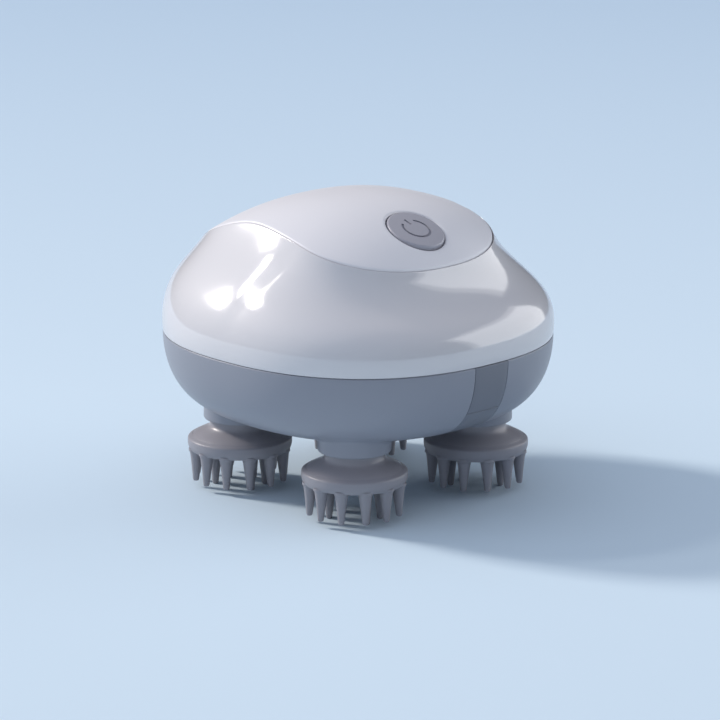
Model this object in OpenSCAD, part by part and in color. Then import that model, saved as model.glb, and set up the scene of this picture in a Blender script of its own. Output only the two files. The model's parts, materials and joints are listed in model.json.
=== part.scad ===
// Electric scalp massager: a palm-sized body on four driven finger heads.
// Millimetres, +Z up. The origin lies on the table under the middle of the body.
// The front, with the power button and the charging port, faces -Y.

/* [Body] */
// Width of the body at its seam
body_w = 105; // [102:0.5:112]
// Length of the body at its seam, front to back
body_l = 109; // [106:0.5:116]
// Squareness of the body in plan, where 2 is an ellipse
body_square = 2.3; // [2.2:0.05:2.6]
// Height of the lower housing, from its belly to the seam
housing_h = 23.8; // [23:0.1:27]
// Fullness of the belly, where 2 is an ellipse
belly_full = 6.3; // [5:0.1:8]
// Wall of the two housing halves
wall = 2.4; // [2.2:0.1:2.8]
// Thickness of the housing floor
floor_t = 2.4; // [2:0.1:3]

/* [Crown and top cover] */
// Height of the crown above the seam
crown_h = 39.7; // [37:0.1:42]
// Width of the dome that the crown is cut from
crown_w = 143; // [136:1:150]
// Length of the dome that the crown is cut from
crown_l = 116; // [113:1:124]
// How far the crown's peak sits behind the middle
crown_y = 3; // [1:0.5:5]
// Full width of the top cover
cover_w = 66; // [62:0.5:68]
// Reach of the top cover's nose ahead of its widest line
cover_nose = 24.3; // [22:0.1:26]
// Reach of the top cover's tail behind its widest line
cover_tail = 58; // [54:0.5:60]
// Where the top cover is widest
cover_mid_y = -12; // [-14:0.5:-10]
// Share of the width that the waist of the cover takes away
cover_waist = 0.08; // [0:0.01:0.12]
// Thickness of the top cover
cover_t = 2.2; // [1.8:0.1:2.6]
// Groove between the top cover and the shell
groove = 0.35; // [0.2:0.05:0.6]
// Width of the ledge that the top cover rests on
ledge_w = 3; // [2:0.1:4]

/* [Shell shoulder] */
// Outward swell of the shell just above the seam at the front
swell_front = 2.3; // [1:0.05:3]
// Outward swell of the shell just above the seam at the back
swell_back = 1.15; // [0.5:0.05:3]
// Rise of the shoulder at the front
rise_front = 16.5; // [14:0.5:18]
// Rise of the shoulder at the back
rise_back = 13.5; // [12:0.5:16]
// Steepness in degrees of the shell under the nose of the cover
cove_front = 68; // [60:1:72]
// Steepness in degrees of the shell under the tail of the cover
cove_back = 48; // [44:1:54]

/* [Power button] */
// Place of the button on the crown
button_y = -23.9; // [-25:0.1:-22]
// Forward tilt of the button in degrees
button_tilt = 24; // [20:0.5:27]
// Diameter of the button's face
button_d = 17; // [16:0.1:18]
// How far the middle of the button stands out of the cover
button_proud = 0.2; // [0:0.1:1]
// Travel of the button
button_travel = 0.8; // [0.4:0.1:1]

/* [Massage heads] */
// Diameter of a finger pad over its rim
pad_d = 30.1; // [28:0.1:31]
// Height of the pad's rim
rim_h = 3.8; // [3.4:0.1:4.4]
// Height of the mushroom cap above the pad's rim
cap_h = 5.1; // [4.6:0.1:5.6]
// Diameter of the cap's neck
neck_d = 17; // [15:0.5:18]
// Length of an inner finger, which stands on the table
finger_l = 10.9; // [9:0.1:12]
// How much shorter an outer finger is
finger_step = 1.8; // [0.5:0.1:3]
// Diameter of a finger at its root
finger_root_d = 4.1; // [3.4:0.1:4.3]
// Diameter of a finger just above its rounded tip
finger_tip_d = 1.8; // [1.4:0.1:2.4]
// Fingers in the outer ring
outer_fingers = 12; // [8:1:12]
// Radius of the outer ring of fingers
outer_ring_r = 12.75; // [12.2:0.05:12.9]
// Fingers in the inner ring
inner_fingers = 6; // [4:1:6]
// Radius of the inner ring of fingers
inner_ring_r = 6.9; // [6:0.1:7.4]

/* [Head bosses] */
// Depth of a head boss below the belly
boss_h = 2.4; // [2:0.1:3.2]
// Diameter of a head boss at its foot
boss_d = 20.8; // [19.6:0.1:22]
// Diameter of a shaft seal
seal_d = 12; // [10.5:0.5:13]
// Height of a shaft seal
seal_h = 3; // [2.4:0.1:3.4]

/* [Spindles and bushes] */
// Diameter of a spindle in its lower bush
spindle_d = 6; // [5.6:0.1:6.6]
// Diameter of a spindle in its gear
gear_seat_d = 5; // [4.6:0.1:5.4]
// Diameter of a spindle in its upper bush
spindle_top_d = 4; // [3.4:0.1:4.4]
// Outer diameter of a lower bush
bush_d = 9; // [8.4:0.1:10]
// Outer diameter of an upper bush
top_bush_d = 6.4; // [5.8:0.1:7]
// Thickness of a bush flange
flange_t = 0.6; // [0.4:0.1:0.8]

/* [Gear train] */
// Module of the sun gear and the head gears
sun_module = 1; // [0.98:0.01:1.01]
// Teeth on the sun gear
sun_teeth = 44; // [44:1:45]
// Teeth on each head gear
head_teeth = 24; // [23:1:24]
// Face width of the sun gear and the head gears
gear_w = 4; // [3:0.1:5]
// Module of the drive wheel and its pinion
wheel_module = 0.6; // [0.58:0.01:0.62]
// Teeth on the drive wheel above the sun gear
wheel_teeth = 60; // [58:1:61]
// Teeth on the idler pinion
idler_pinion_teeth = 14; // [13:1:15]
// Face width of the drive wheel
wheel_w = 3.2; // [2.6:0.1:4]
// Module of the idler wheel and the motor pinion
motor_module = 0.5; // [0.48:0.01:0.51]
// Teeth on the idler wheel
idler_wheel_teeth = 50; // [48:1:51]
// Teeth on the motor pinion
motor_pinion_teeth = 12; // [12:1:14]
// Face width of the idler wheel
idler_w = 2.8; // [2:0.1:3.4]
// Diameter of the fixed axle under the sun gear
sun_axle_d = 4; // [3:0.1:5]
// Diameter of the idler's pin
idler_pin_d = 3; // [2.4:0.1:3.4]
// Thickness of the gearbox plate
plate_t = 2.6; // [2.2:0.1:3.2]

/* [Motor, battery and boards] */
// Diameter of the motor can
motor_d = 24.4; // [20:0.1:25]
// Length of the motor can
motor_l = 24; // [20:0.5:27]
// Diameter of the motor shaft
motor_shaft_d = 2; // [1.5:0.1:2.3]
// Direction in degrees from the idler to the motor
motor_angle = 195; // [190:1:205]
// Diameter of the battery cell
battery_d = 18.4; // [16:0.1:18.6]
// Length of the battery cell
battery_l = 65; // [50:1:66]
// Place of the battery cell, behind the front
battery_y = -18; // [-19:0.5:-17]
// Width of the control board
control_w = 36; // [32:0.5:40]
// Depth of the control board, front to back
control_l = 20; // [16:0.5:21]
// Thickness of a circuit board
board_t = 1.2; // [0.8:0.1:1.6]
// Depth of the control board under the button
board_drop = 8.2; // [7.8:0.1:9]

/* [Charging port] */
// Width of the dark strip down the front
band_w = 12.6; // [11:0.1:14]
// Depth of the channel that the strip lies in
band_depth = 1.3; // [1:0.1:1.4]
// Length of the flap that opens over the port
flap_h = 13.8; // [12.5:0.1:16]
// Height of the port below the seam
port_drop = 6.9; // [6:0.1:7.5]
// Width of the port's mouth
port_w = 9.6; // [9.3:0.1:10.4]
// Height of the port's mouth
port_h = 3.8; // [3.5:0.1:4.4]

/* [Fasteners] */
// Diameter of the long closing screws
closing_d = 2.5; // [2:0.1:3]
// Diameter of the small screws
small_screw_d = 2; // [1.6:0.1:2.4]

/* [Clearances] */
// Radial clearance of a turning shaft
run_fit = 0.05; // [0.03:0.01:0.08]
// Clearance between fixed pieces
seat_fit = 0.05; // [0.02:0.01:0.1]
// Gap between a turning head and its boss
head_gap = 0.3; // [0.2:0.05:0.5]
// Gap around a piece that slides or swings
slide_gap = 0.15; // [0.1:0.05:0.3]

/* [Hidden] */
HEADS = [["front_left", 225], ["front_right", 315], ["back_right", 45], ["back_left", 135]];
HEAD_PARTS = ["cap", "pad", "spindle", "gear", "clip", "screw"];
$fn = 48;

// Colours
shell_white = [0.93, 0.93, 0.95];
cover_white = [0.88, 0.88, 0.91];
housing_grey = [0.47, 0.52, 0.60];
band_grey = [0.33, 0.36, 0.43];
head_grey = [0.60, 0.58, 0.61];
button_grey = [0.55, 0.55, 0.59];
gear_white = [0.90, 0.89, 0.84];
steel = [0.72, 0.73, 0.75];
bronze = [0.72, 0.55, 0.33];
rubber_dark = [0.20, 0.20, 0.22];
board_green = [0.10, 0.36, 0.22];
frame_black = [0.16, 0.17, 0.19];
cell_blue = [0.20, 0.36, 0.62];

// Heights, counted up from the table
pad_z = finger_l;
lip_z = pad_z + rim_h;
neck_z = lip_z + cap_h;
boss_z = neck_z + head_gap;
belly_z = boss_z + boss_h;
seam_z = belly_z + housing_h;
floor_z = belly_z + floor_t;
bush_rise = 3.3;
bush_z = floor_z + bush_rise;
level_gap = 0.2;
gear_z = bush_z + flange_t + level_gap;
wheel_gap = 1;
wheel_z = gear_z + gear_w + wheel_gap;
idler_z = wheel_z + wheel_w + 3 * level_gap;
plate_z = idler_z + idler_w + 4 * level_gap;
deck_z = plate_z + plate_t;

// The seam: an outer lip on the housing, with the gasket in a rebate behind it
seam_gap = 0.1;
lip_t = band_depth + seam_gap;
rebate = 1.2;
columns = 64;

// Plan outline of the body, by an angle that starts at the front and goes towards +X
function spow(v, e) = sign(v) * pow(abs(v), e);
function unit(v) = v / norm(v);
function lerp(a, b, k) = a + (b - a) * k;
function plan_xy(t, inset = 0) =
    [(body_w / 2 - inset) * spow(sin(t), 2 / body_square),
     -(body_l / 2 - inset) * spow(cos(t), 2 / body_square)];

// Belly of the lower housing: a superellipse from the seam (0) to the underside (90)
belly_rise = 2.02;
belly_flat = 85;
function belly_share(a) = spow(cos(a), 2 / belly_full);
function belly_height(a, depth) = seam_z - (housing_h - depth) * spow(sin(a), 2 / belly_rise);
function belly_ring(a, inset, depth) =
    [for (j = [0:columns - 1]) let (p = plan_xy(j * 360 / columns, inset) * belly_share(a))
        [p.x, p.y, belly_height(a, depth)]];
function flat_ring(z, inset) =
    [for (j = [0:columns - 1]) let (p = plan_xy(j * 360 / columns, inset)) [p.x, p.y, z]];
function belly_angle(z) = asin(pow((seam_z - z) / housing_h, belly_rise / 2));
// One point of the belly's front profile, as [y, z]
function front_point(a, inset) =
    [-(body_l / 2 - inset) * belly_share(a), belly_height(a, inset)];
// Height of the belly's outside above a point of the plan
function belly_at(p) =
    let (share = pow(abs(p.x) * 2 / body_w, body_square) + pow(abs(p.y) * 2 / body_l, body_square))
    seam_z - housing_h * pow(1 - pow(share, belly_full / body_square), 1 / belly_rise);

// Crown: the dome that the top cover lies on
crown_square = 2.24;
crown_round = 0.826;
function crown_z(p) =
    seam_z + crown_h * pow(1 - pow(abs(p.x) * 2 / crown_w, crown_square)
                             - pow(abs(p.y - crown_y) * 2 / crown_l, crown_square), crown_round);

// Outline of the top cover: a round nose, a slight waist and a full tail
nose_square = 2.2;
tail_square = 3.2;
waist_y = 12;
waist_l = 14;
function waist_at(y) = 1 - cover_waist * exp(-pow((y - waist_y) / waist_l, 2));
function cover_xy(t, out = 0) =
    let (nose = cos(t) > 0,
         e = 2 / (nose ? nose_square : tail_square),
         y = cover_mid_y - ((nose ? cover_nose : cover_tail) + out) * spow(cos(t), e))
    [(cover_w / 2 + out) * spow(sin(t), e) * waist_at(y), y];
function on_crown(p, drop = 0) = [p.x, p.y, crown_z(p) - drop];

// Shell: for each angle a cubic curve from the seam up to the edge of the top cover.
// It swells out, turns in over the shoulder and meets the cover in a cove, deepest at the nose.
cove_blend = 0.84;
reach_front = 15.8;
reach_back = 9.9;
ledge_t = 1.6;
function shell_point(t, s) =
    let (foot = plan_xy(t),
         edge = cover_xy(t, groove),
         g = pow((1 + cos(t)) / 2, cove_blend),
         out = unit(foot),
         away = unit(foot - edge),
         steep = lerp(cove_back, cove_front, g),
         reach = lerp(reach_back, reach_front, g),
         p0 = [foot.x, foot.y, seam_z + seam_gap],
         swell = lerp(swell_back, swell_front, g),
         p1 = p0 + [out.x * swell, out.y * swell, lerp(rise_back, rise_front, g)],
         p3 = on_crown(edge),
         p2 = p3 + [away.x * reach * cos(steep), away.y * reach * cos(steep), -reach * sin(steep)])
    p0 * pow(1 - s, 3) + 3 * p1 * pow(1 - s, 2) * s + 3 * p2 * (1 - s) * s * s + p3 * pow(s, 3);
function shell_inner(t, s) =
    let (foot = plan_xy(t, wall) - plan_xy(t),
         edge = cover_xy(t, groove),
         ledge = cover_xy(t, -ledge_w),
         top = on_crown(ledge, cover_t + ledge_t) - on_crown(edge))
    shell_point(t, s) + lerp([foot.x, foot.y, 0], top, s);

// A skin through rings of points, from the lowest inside ring over the outside to the last.
// An open skin is closed by a fan at each end; a looped one joins its last ring to its first.
module skin(rings, loop = false) {
    n = len(rings[0]);
    m = len(rings);
    points = concat([for (r = rings) each r], [mean(rings[0]), mean(rings[m - 1])]);
    bands = loop ? m : m - 1;
    sides = [for (i = [0:bands - 1]) for (j = [0:n - 1])
        let (k = (j + 1) % n, a = i * n, b = ((i + 1) % m) * n)
        each [[a + j, b + j, b + k], [a + j, b + k, a + k]]];
    ends = loop ? [] : [for (j = [0:n - 1]) let (k = (j + 1) % n)
        each [[n * m, j, k], [n * m + 1, (m - 1) * n + k, (m - 1) * n + j]]];
    polyhedron(loop ? [for (r = rings) each r] : points, concat(sides, ends), convexity = 6);
}
function mean(ring) = [for (c = [0:2]) [for (p = ring) p[c]] * [for (p = ring) 1] / len(ring)];

// Places
function head_r() = sun_module * (sun_teeth + head_teeth) / 2;
module at_head(h) {
    translate([head_r() * cos(h[1]), head_r() * sin(h[1]), 0]) children();
}
module at_heads() {
    for (h = HEADS) at_head(h) children();
}
module at_button() {
    translate(on_crown([0, button_y])) rotate([button_tilt, 0, 0]) children();
}
idler_xy = [0, wheel_module * (wheel_teeth + idler_pinion_teeth) / 2];
motor_c = motor_module * (idler_wheel_teeth + motor_pinion_teeth) / 2;
motor_xy = idler_xy + motor_c * [cos(motor_angle), sin(motor_angle)];
closing_side = 36;
closing_back = 41;
closing_posts = [[closing_side, 0], [-closing_side, 0], [0, closing_back]];
plate_side = 27.5;
plate_front = 29;
plate_posts = [[plate_side, 0], [-plate_side, 0], [0, -plate_front]];
post_wall = 1.6;

// A tube or pin given by its two heights
module rod(z0, z1, d) {
    translate([0, 0, z0]) cylinder(h = z1 - z0, d = d);
}
module ring(z0, z1, od, id) {
    translate([0, 0, z0]) linear_extrude(z1 - z0) difference() {
        circle(d = od);
        circle(d = id);
    }
}
// A bar with round sides along Y, centred on its axis
module stadium(w, h, l) {
    cube([w - h, l, h], center = true);
    for (s = [-1, 1]) translate([s * (w - h) / 2, 0, 0])
        rotate([90, 0, 0]) cylinder(h = l, d = h, center = true);
}

// ---------- Lower housing ----------
housing_rows = 12;
inner_rows = 8;
boss_round = 0.5;
cove_w = 1.3;
cove_h = 1.2;
cove_sink = 0.25;
cove_columns = 32;
seal_z = boss_z + 0.2;
closing_head_d = 5.6;
closing_head_h = 2;
closing_seat = 8;
closing_thread = 8;
plate_thread = 6;
small_thread = 3.5;
blind = 0.5;
axle_sink = 1;
sun_hub_d = sun_axle_d + 7;
port_z = seam_z - port_drop;
socket_h = 3.3;
socket_w = 9;
socket_l = 7.4;
socket_front = -body_l / 2 + wall + slide_gap;
charge_z = port_z - socket_h / 2 - board_t;
charge_screw_x = 5.2;
charge_screw_gap = 5.55;
charge_screws = [for (s = [1, -1]) [s * charge_screw_x, socket_front + socket_l + charge_screw_gap]];

function belly_solid(inset) = concat(
    [for (i = [0:inner_rows]) belly_ring(belly_flat * (1 - i / inner_rows), inset, inset)],
    [flat_ring(seam_z + 1, inset)]);
function housing_rings() = concat(
    [for (i = [0:housing_rows]) belly_ring(belly_flat * (1 - i / housing_rows), 0, 0)],
    [flat_ring(seam_z, lip_t), flat_ring(seam_z - rebate, lip_t),
     flat_ring(seam_z - rebate, wall)],
    [for (i = [1:inner_rows]) belly_ring(belly_flat * i / inner_rows, wall, floor_t)]);

// A head boss: a collar with a rounded foot, and a small cove that runs out onto the belly
module head_boss(h) {
    r = boss_d / 2;
    centre = head_r() * [cos(h[1]), sin(h[1])];
    translate([centre.x, centre.y, 0]) rotate_extrude() polygon(concat(
        [[0, boss_z]],
        [for (a = [0:30:90]) [r - boss_round * (1 - sin(a)), boss_z + boss_round * (1 - cos(a))]],
        [[r, bush_z], [0, bush_z]]));
    skin([for (a = [0:30:90]) [for (j = [0:cove_columns - 1])
        let (t = j * 360 / cove_columns, p = centre + (r + cove_w * (1 - cos(a))) * [sin(t), -cos(t)])
        [p.x, p.y, belly_at(p) - cove_h * (1 - sin(a)) + cove_sink]]]);
}
// Everything that stands on the floor inside: posts, bush seats and the board's feet
module floor_posts() {
    for (p = closing_posts) translate([p.x, p.y, 0])
        rod(boss_z, plate_z, closing_head_d + 4 * seat_fit + 2 * post_wall);
    for (p = plate_posts) translate([p.x, p.y, 0])
        rod(boss_z, plate_z, small_screw_d + 2 * post_wall);
    for (p = charge_screws) translate([p.x, p.y, 0])
        rod(boss_z, charge_z, small_screw_d + 2 * post_wall);
    at_heads() rod(boss_z, bush_z, bush_d + 2 * post_wall);
    rod(boss_z, bush_z, sun_hub_d);
}
module strip(a0, a1, in0, in1, w) {
    // A curved strip of the belly between two angles and two depths
    steps = 14;
    outer = [for (i = [0:steps]) front_point(lerp(a0, a1, i / steps), in0)];
    inner = [for (i = [steps:-1:0]) front_point(lerp(a0, a1, i / steps), in1)];
    rotate([90, 0, 90]) linear_extrude(w, center = true) polygon(concat(outer, inner));
}
band_recess = 0.15;
strip_end = acos(pow(34 / (body_l / 2), belly_full / 2));
flap_top = belly_angle(seam_z - 2 * slide_gap);
flap_split = belly_angle(seam_z - 2 * slide_gap - flap_h);
split_gap = 0.4;

module lower_housing() color(housing_grey) difference() {
    union() {
        skin(housing_rings());
        for (h = HEADS) head_boss(h);
        intersection() {
            floor_posts();
            skin(belly_solid(0.6));
        }
    }
    at_heads() {
        rod(boss_z - 1, seal_z + seal_h, seal_d + 2 * seat_fit);
        rod(boss_z - 1, bush_z + 1, bush_d + 2 * seat_fit);
    }
    for (p = closing_posts) translate([p.x, p.y, 0]) {
        rod(0, belly_z + closing_seat, closing_head_d + 4 * seat_fit);
        rod(0, seam_z, closing_d + 4 * seat_fit);
    }
    for (p = plate_posts) translate([p.x, p.y, 0])
        rod(plate_z - plate_thread - blind, seam_z, small_screw_d);
    for (p = charge_screws) translate([p.x, p.y, 0])
        rod(charge_z - small_thread - blind, seam_z, small_screw_d);
    rod(floor_z - axle_sink, seam_z, sun_axle_d);
    // Room for the head gears beside the side wall
    at_heads() rod(gear_z - level_gap, plate_z, sun_module * (head_teeth + 2) + 2 * slide_gap);
    // Channel for the strip, cut from outside the belly
    strip(0, strip_end + 0.5, -3, band_depth, band_w + 2 * slide_gap);
    translate([0, -body_l / 2, seam_z])
        cube([band_w + 2 * slide_gap, 2 * band_depth, 2 * slide_gap], center = true);
    translate([0, -body_l / 2 + wall, port_z]) stadium(port_w, port_h, 2 * wall);
}

// ---------- Strip down the front: a fixed band and a flap over the port ----------
module front_band() color(band_grey)
    strip(flap_split + split_gap, strip_end, band_recess, band_depth - seat_fit, band_w);

plug_l = wall - band_depth - 2 * seat_fit;
module port_flap() color(band_grey) {
    strip(flap_top, flap_split, band_recess, band_depth - slide_gap / 2, band_w);
    translate([0, -body_l / 2 + band_depth + plug_l / 2 - slide_gap, port_z])
        stadium(port_w - 1.2, port_h - 1.4, plug_l);
}

// ---------- Charging socket and its board ----------
module charge_socket() color(steel) translate([0, socket_front + socket_l / 2, port_z]) {
    tongue_t = 0.7;
    tongue_gap = 1.2;
    skin_t = 0.3;
    difference() {
        stadium(socket_w, socket_h, socket_l);
        translate([0, -1, 0]) stadium(socket_w - 2 * skin_t, socket_h - 2 * skin_t, socket_l);
    }
    translate([0, tongue_gap / 2, 0])
        cube([socket_w - 2 * tongue_gap, socket_l - tongue_gap - skin_t, tongue_t], center = true);
}
module charge_board() color(board_green) difference() {
    width = socket_w + 6;
    front = socket_front + wall;
    back = charge_screws[0].y + 2 * small_screw_d;
    translate([-width / 2, front, charge_z]) cube([width, back - front, board_t]);
    for (p = charge_screws) translate([p.x, p.y, 0])
        rod(0, seam_z, small_screw_d + 4 * seat_fit);
}

// ---------- Upper shell ----------
shell_rows = 14;
module upper_shell() color(shell_white) difference() {
    union() {
        skin(concat(
            [for (i = [0:shell_rows]) shell_ring(i / shell_rows)],
            [rim_ring(groove, cover_t), rim_ring(-ledge_w, cover_t)],
            [for (i = [inner_rows:-1:0]) inner_ring(i / inner_rows)]), loop = true);
        intersection() {
            for (p = closing_posts) translate([p.x, p.y, 0])
                rod(deck_z, seam_z + crown_h, closing_d + 2 * post_wall + 1);
            skin(concat([flat_ring(deck_z - 1, wall)],
                [for (i = [0:inner_rows]) half_ring(i / inner_rows)]));
        }
    }
    for (p = closing_posts) translate([p.x, p.y, 0])
        rod(deck_z - 1, deck_z + closing_thread + blind, closing_d);
}
function shell_ring(s) = [for (j = [0:columns - 1]) shell_point(j * 360 / columns, s)];
function inner_ring(s) = [for (j = [0:columns - 1]) shell_inner(j * 360 / columns, s)];
function half_ring(s) = (shell_ring(s) + inner_ring(s)) / 2;
function rim_ring(out, drop) =
    [for (j = [0:columns - 1]) on_crown(cover_xy(j * 360 / columns, out), drop)];

// ---------- Top cover ----------
cover_rows = 7;
cover_centre = [0, 4];
cover_edge = 0.5;
hole_d = button_d + 0.7;
hole_sink = 1;
flange_d = button_d + 1.8;
collar_d = flange_d + 2 * slide_gap + 2.4;
button_neck = 1.8;
board_posts = [[14, 0], [-14, 0]];
function cover_ring(k, out, drop) =
    [for (j = [0:columns - 1])
        on_crown(lerp(cover_centre, cover_xy(j * 360 / columns, out), k), drop)];

module top_cover() color(cover_white) difference() {
    union() {
        skin(concat(
            [for (k = [0.1, 0.4, 0.7]) cover_ring(k, 0, cover_t - 2 * seat_fit)],
            [for (out = [-ledge_w, 0]) cover_ring(1, out, cover_t - 2 * seat_fit)],
            [cover_ring(1, 0, cover_edge), cover_ring(1, -cover_edge / 3, cover_edge / 4)],
            [for (i = [cover_rows:-1:1])
                cover_ring(0.1 + 0.9 * (i / cover_rows), -cover_edge, 0)]));
        at_button() {
            rod(-board_drop + 1, -cover_t, collar_d);
            for (p = board_posts) translate([p.x, p.y, 0])
                rod(-board_drop, -cover_t, small_screw_d + 2 * post_wall);
        }
    }
    at_button() {
        rod(-board_drop, 5, hole_d);
        // Countersink round the button
        translate([0, 0, -hole_sink]) cylinder(h = 4 * hole_sink, d1 = hole_d, d2 = hole_d + 8 * hole_sink);
        rod(-board_drop, -button_neck, flange_d + 2 * slide_gap);
        for (p = board_posts) translate([p.x, p.y, 0])
            rod(-board_drop - 1, -board_drop + small_thread + blind, small_screw_d);
    }
}

// ---------- Seam gasket ----------
module seam_gasket() color(rubber_dark) translate([0, 0, seam_z - rebate])
    linear_extrude(rebate + seam_gap) difference() {
        polygon([for (j = [0:columns - 1]) plan_xy(j * 360 / columns, lip_t + seat_fit)]);
        polygon([for (j = [0:columns - 1]) plan_xy(j * 360 / columns, wall)]);
    }

// ---------- Power button and its switch ----------
flange_h = 1;
switch_h = 1.5;
plunger_h = 0.7;
stem_z = -board_drop + switch_h + plunger_h + button_travel + slide_gap;
gasket_t = 1;
module power_button() color(button_grey) at_button() rotate_extrude() {
    r = button_d / 2;
    dome = 0.3;
    top = button_proud - dome;
    edge = 0.5;
    under = -button_neck - slide_gap;
    polygon([
        [0, stem_z], [2, stem_z], [2, under - flange_h + 0.4], [flange_d / 2 - 2, under - flange_h + 0.4],
        [flange_d / 2 - 2, under - flange_h], [flange_d / 2, under - flange_h], [flange_d / 2, under],
        [r, under], [r, top - edge], [r - edge * 0.13, top - edge * 0.5],
        [r - edge * 0.5, top - edge * 0.13], [r - edge, top], [r * 0.6, top + dome * 0.64],
        [r * 0.3, top + dome * 0.91], [0, button_proud]]);
}
module button_gasket() color(rubber_dark) at_button()
    ring(gasket_z(), gasket_z() + gasket_t, flange_d + 2 * slide_gap - 2 * seat_fit, flange_d - 5);
function gasket_z() = -button_neck - slide_gap - flange_h - button_travel - slide_gap - gasket_t;
module tact_switch() color(frame_black) at_button() {
    side = 6;
    plunger_d = 3.4;
    translate([-side / 2, -side / 2, -board_drop]) cube([side, side, switch_h]);
    rod(-board_drop + switch_h / 2, -board_drop + switch_h + plunger_h, plunger_d);
}
module control_board() color(board_green) at_button() difference() {
    translate([-control_w / 2, -control_l / 2, -board_drop - board_t])
        cube([control_w, control_l, board_t]);
    for (p = board_posts) translate([p.x, p.y, 0])
        rod(-board_drop - 2 * board_t, 0, small_screw_d + 4 * seat_fit);
}

// ---------- Screws ----------
module screw(d, l) {
    // Pan head below, shank upwards from its seat at z = 0
    head_h = 0.7 * d;
    difference() {
        rod(-head_h, 0, 2 * d);
        rod(-head_h - 1, -head_h / 2, 0.8 * d);
    }
    rod(-0.01, l, d - 4 * seat_fit);
}
module board_screws() color(steel) {
    at_button() for (p = board_posts) translate([p.x, p.y, -board_drop - board_t])
        screw(small_screw_d, board_t + small_thread);
    for (p = charge_screws) translate([p.x, p.y, charge_z + board_t])
        mirror([0, 0, 1]) screw(small_screw_d, board_t + small_thread);
}
module plate_screws() color(steel)
    for (p = plate_posts) translate([p.x, p.y, deck_z])
        mirror([0, 0, 1]) screw(small_screw_d, plate_t + plate_thread);
module closing_screws() color(steel)
    for (p = closing_posts) translate([p.x, p.y, belly_z + closing_seat])
        screw(closing_d, deck_z + closing_thread - belly_z - closing_seat);

// ---------- Gearbox plate with its bushes ----------
plate_rim = 4;
arm_w = 11;
module gearbox_plate() color(frame_black) difference() {
    union() {
        rod(plate_z, deck_z, 2 * head_r() - top_bush_d);
        at_heads() rod(plate_z, deck_z, top_bush_d + 2 * plate_rim);
        for (p = closing_posts) rotate([0, 0, atan2(p.y, p.x)]) {
            translate([norm(p), 0, 0]) rod(plate_z, deck_z, arm_w);
            translate([0, -arm_w / 2, plate_z]) cube([norm(p), arm_w, plate_t]);
        }
        translate([idler_xy.x, idler_xy.y, 0]) rod(plate_z, deck_z + 2, idler_pin_d + 2 * post_wall);
    }
    at_heads() rod(plate_z - 1, deck_z + 1, top_bush_d + 2 * seat_fit);
    for (p = closing_posts) translate([p.x, p.y, 0])
        rod(plate_z - 1, deck_z + 1, closing_d + 8 * seat_fit);
    for (p = plate_posts) translate([p.x, p.y, 0])
        rod(plate_z - 1, deck_z + 1, small_screw_d + 4 * seat_fit);
    rod(plate_z - 1, deck_z + 3, sun_axle_d);
    translate([idler_xy.x, idler_xy.y, 0]) rod(plate_z - 1, deck_z + 3, idler_pin_d);
    translate([motor_xy.x, motor_xy.y, 0]) {
        rod(plate_z - 1, deck_z + 1, motor_boss_d + 2 * seat_fit);
        for (a = motor_screw_angles) rotate([0, 0, a]) translate([motor_screw_r, 0, 0]) {
            rod(plate_z - 1, deck_z + 1, small_screw_d + 4 * seat_fit);
            rod(plate_z - 1, plate_z + 0.7 * small_screw_d + seat_fit, 2 * small_screw_d + 4 * seat_fit);
        }
    }
}
module shaft_seals() color(rubber_dark) at_heads()
    ring(seal_z, seal_z + seal_h, seal_d, spindle_d + 2 * run_fit);
module lower_bushes() color(bronze) at_heads() {
    ring(seal_z + seal_h, bush_z + flange_t, bush_d, spindle_d + 2 * run_fit);
    ring(bush_z, bush_z + flange_t, bush_d + 2, bush_d - 0.2);
}
module upper_bushes() color(bronze) at_heads()
    ring(plate_z, deck_z, top_bush_d, spindle_top_d + 2 * run_fit);

// ---------- Gears ----------
pressure = 25;
addendum = 0.95;
dedendum = 1.2;
backlash = 0.1;
flank_steps = 3;
function involute(r, base) = r <= base ? 0 : tan(acos(base / r)) * 180 / PI - acos(base / r);
function half_tooth(r, m, z) =
    90 / z + involute(m * z / 2, m * z / 2 * cos(pressure)) - involute(r, m * z / 2 * cos(pressure))
    - backlash / 4 / (m * z / 2) * 180 / PI;
function tooth_radii(m, z) =
    let (root = m * (z / 2 - dedendum), tip = m * (z / 2 + addendum),
         start = max(root + 0.01, m * z / 2 * cos(pressure)))
    concat([root], [for (i = [0:flank_steps]) lerp(start, tip, i / flank_steps)]);
function gear_points(m, z) = let (radii = tooth_radii(m, z), n = len(radii)) [
    for (k = [0:z - 1]) each concat(
        [for (i = [0:n - 1]) let (a = k * 360 / z - half_tooth(radii[i], m, z))
            radii[i] * [cos(a), sin(a)]],
        [for (i = [n - 1:-1:0]) let (a = k * 360 / z + half_tooth(radii[i], m, z))
            radii[i] * [cos(a), sin(a)]])];
module toothed(m, z, z0, width, phase) {
    translate([0, 0, z0]) rotate([0, 0, phase]) linear_extrude(width) polygon(gear_points(m, z));
}
// Turn of a follower in mesh: towards is the direction to it from a driver turned by phase
function mesh_phase(towards, driver_z, phase, z) =
    towards + 180 - 180 / z + (towards - phase) * driver_z / z;
idler_pinion_phase = mesh_phase(90, wheel_teeth, 0, idler_pinion_teeth);
motor_pinion_phase = mesh_phase(motor_angle, idler_wheel_teeth, 0, motor_pinion_teeth);

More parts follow.
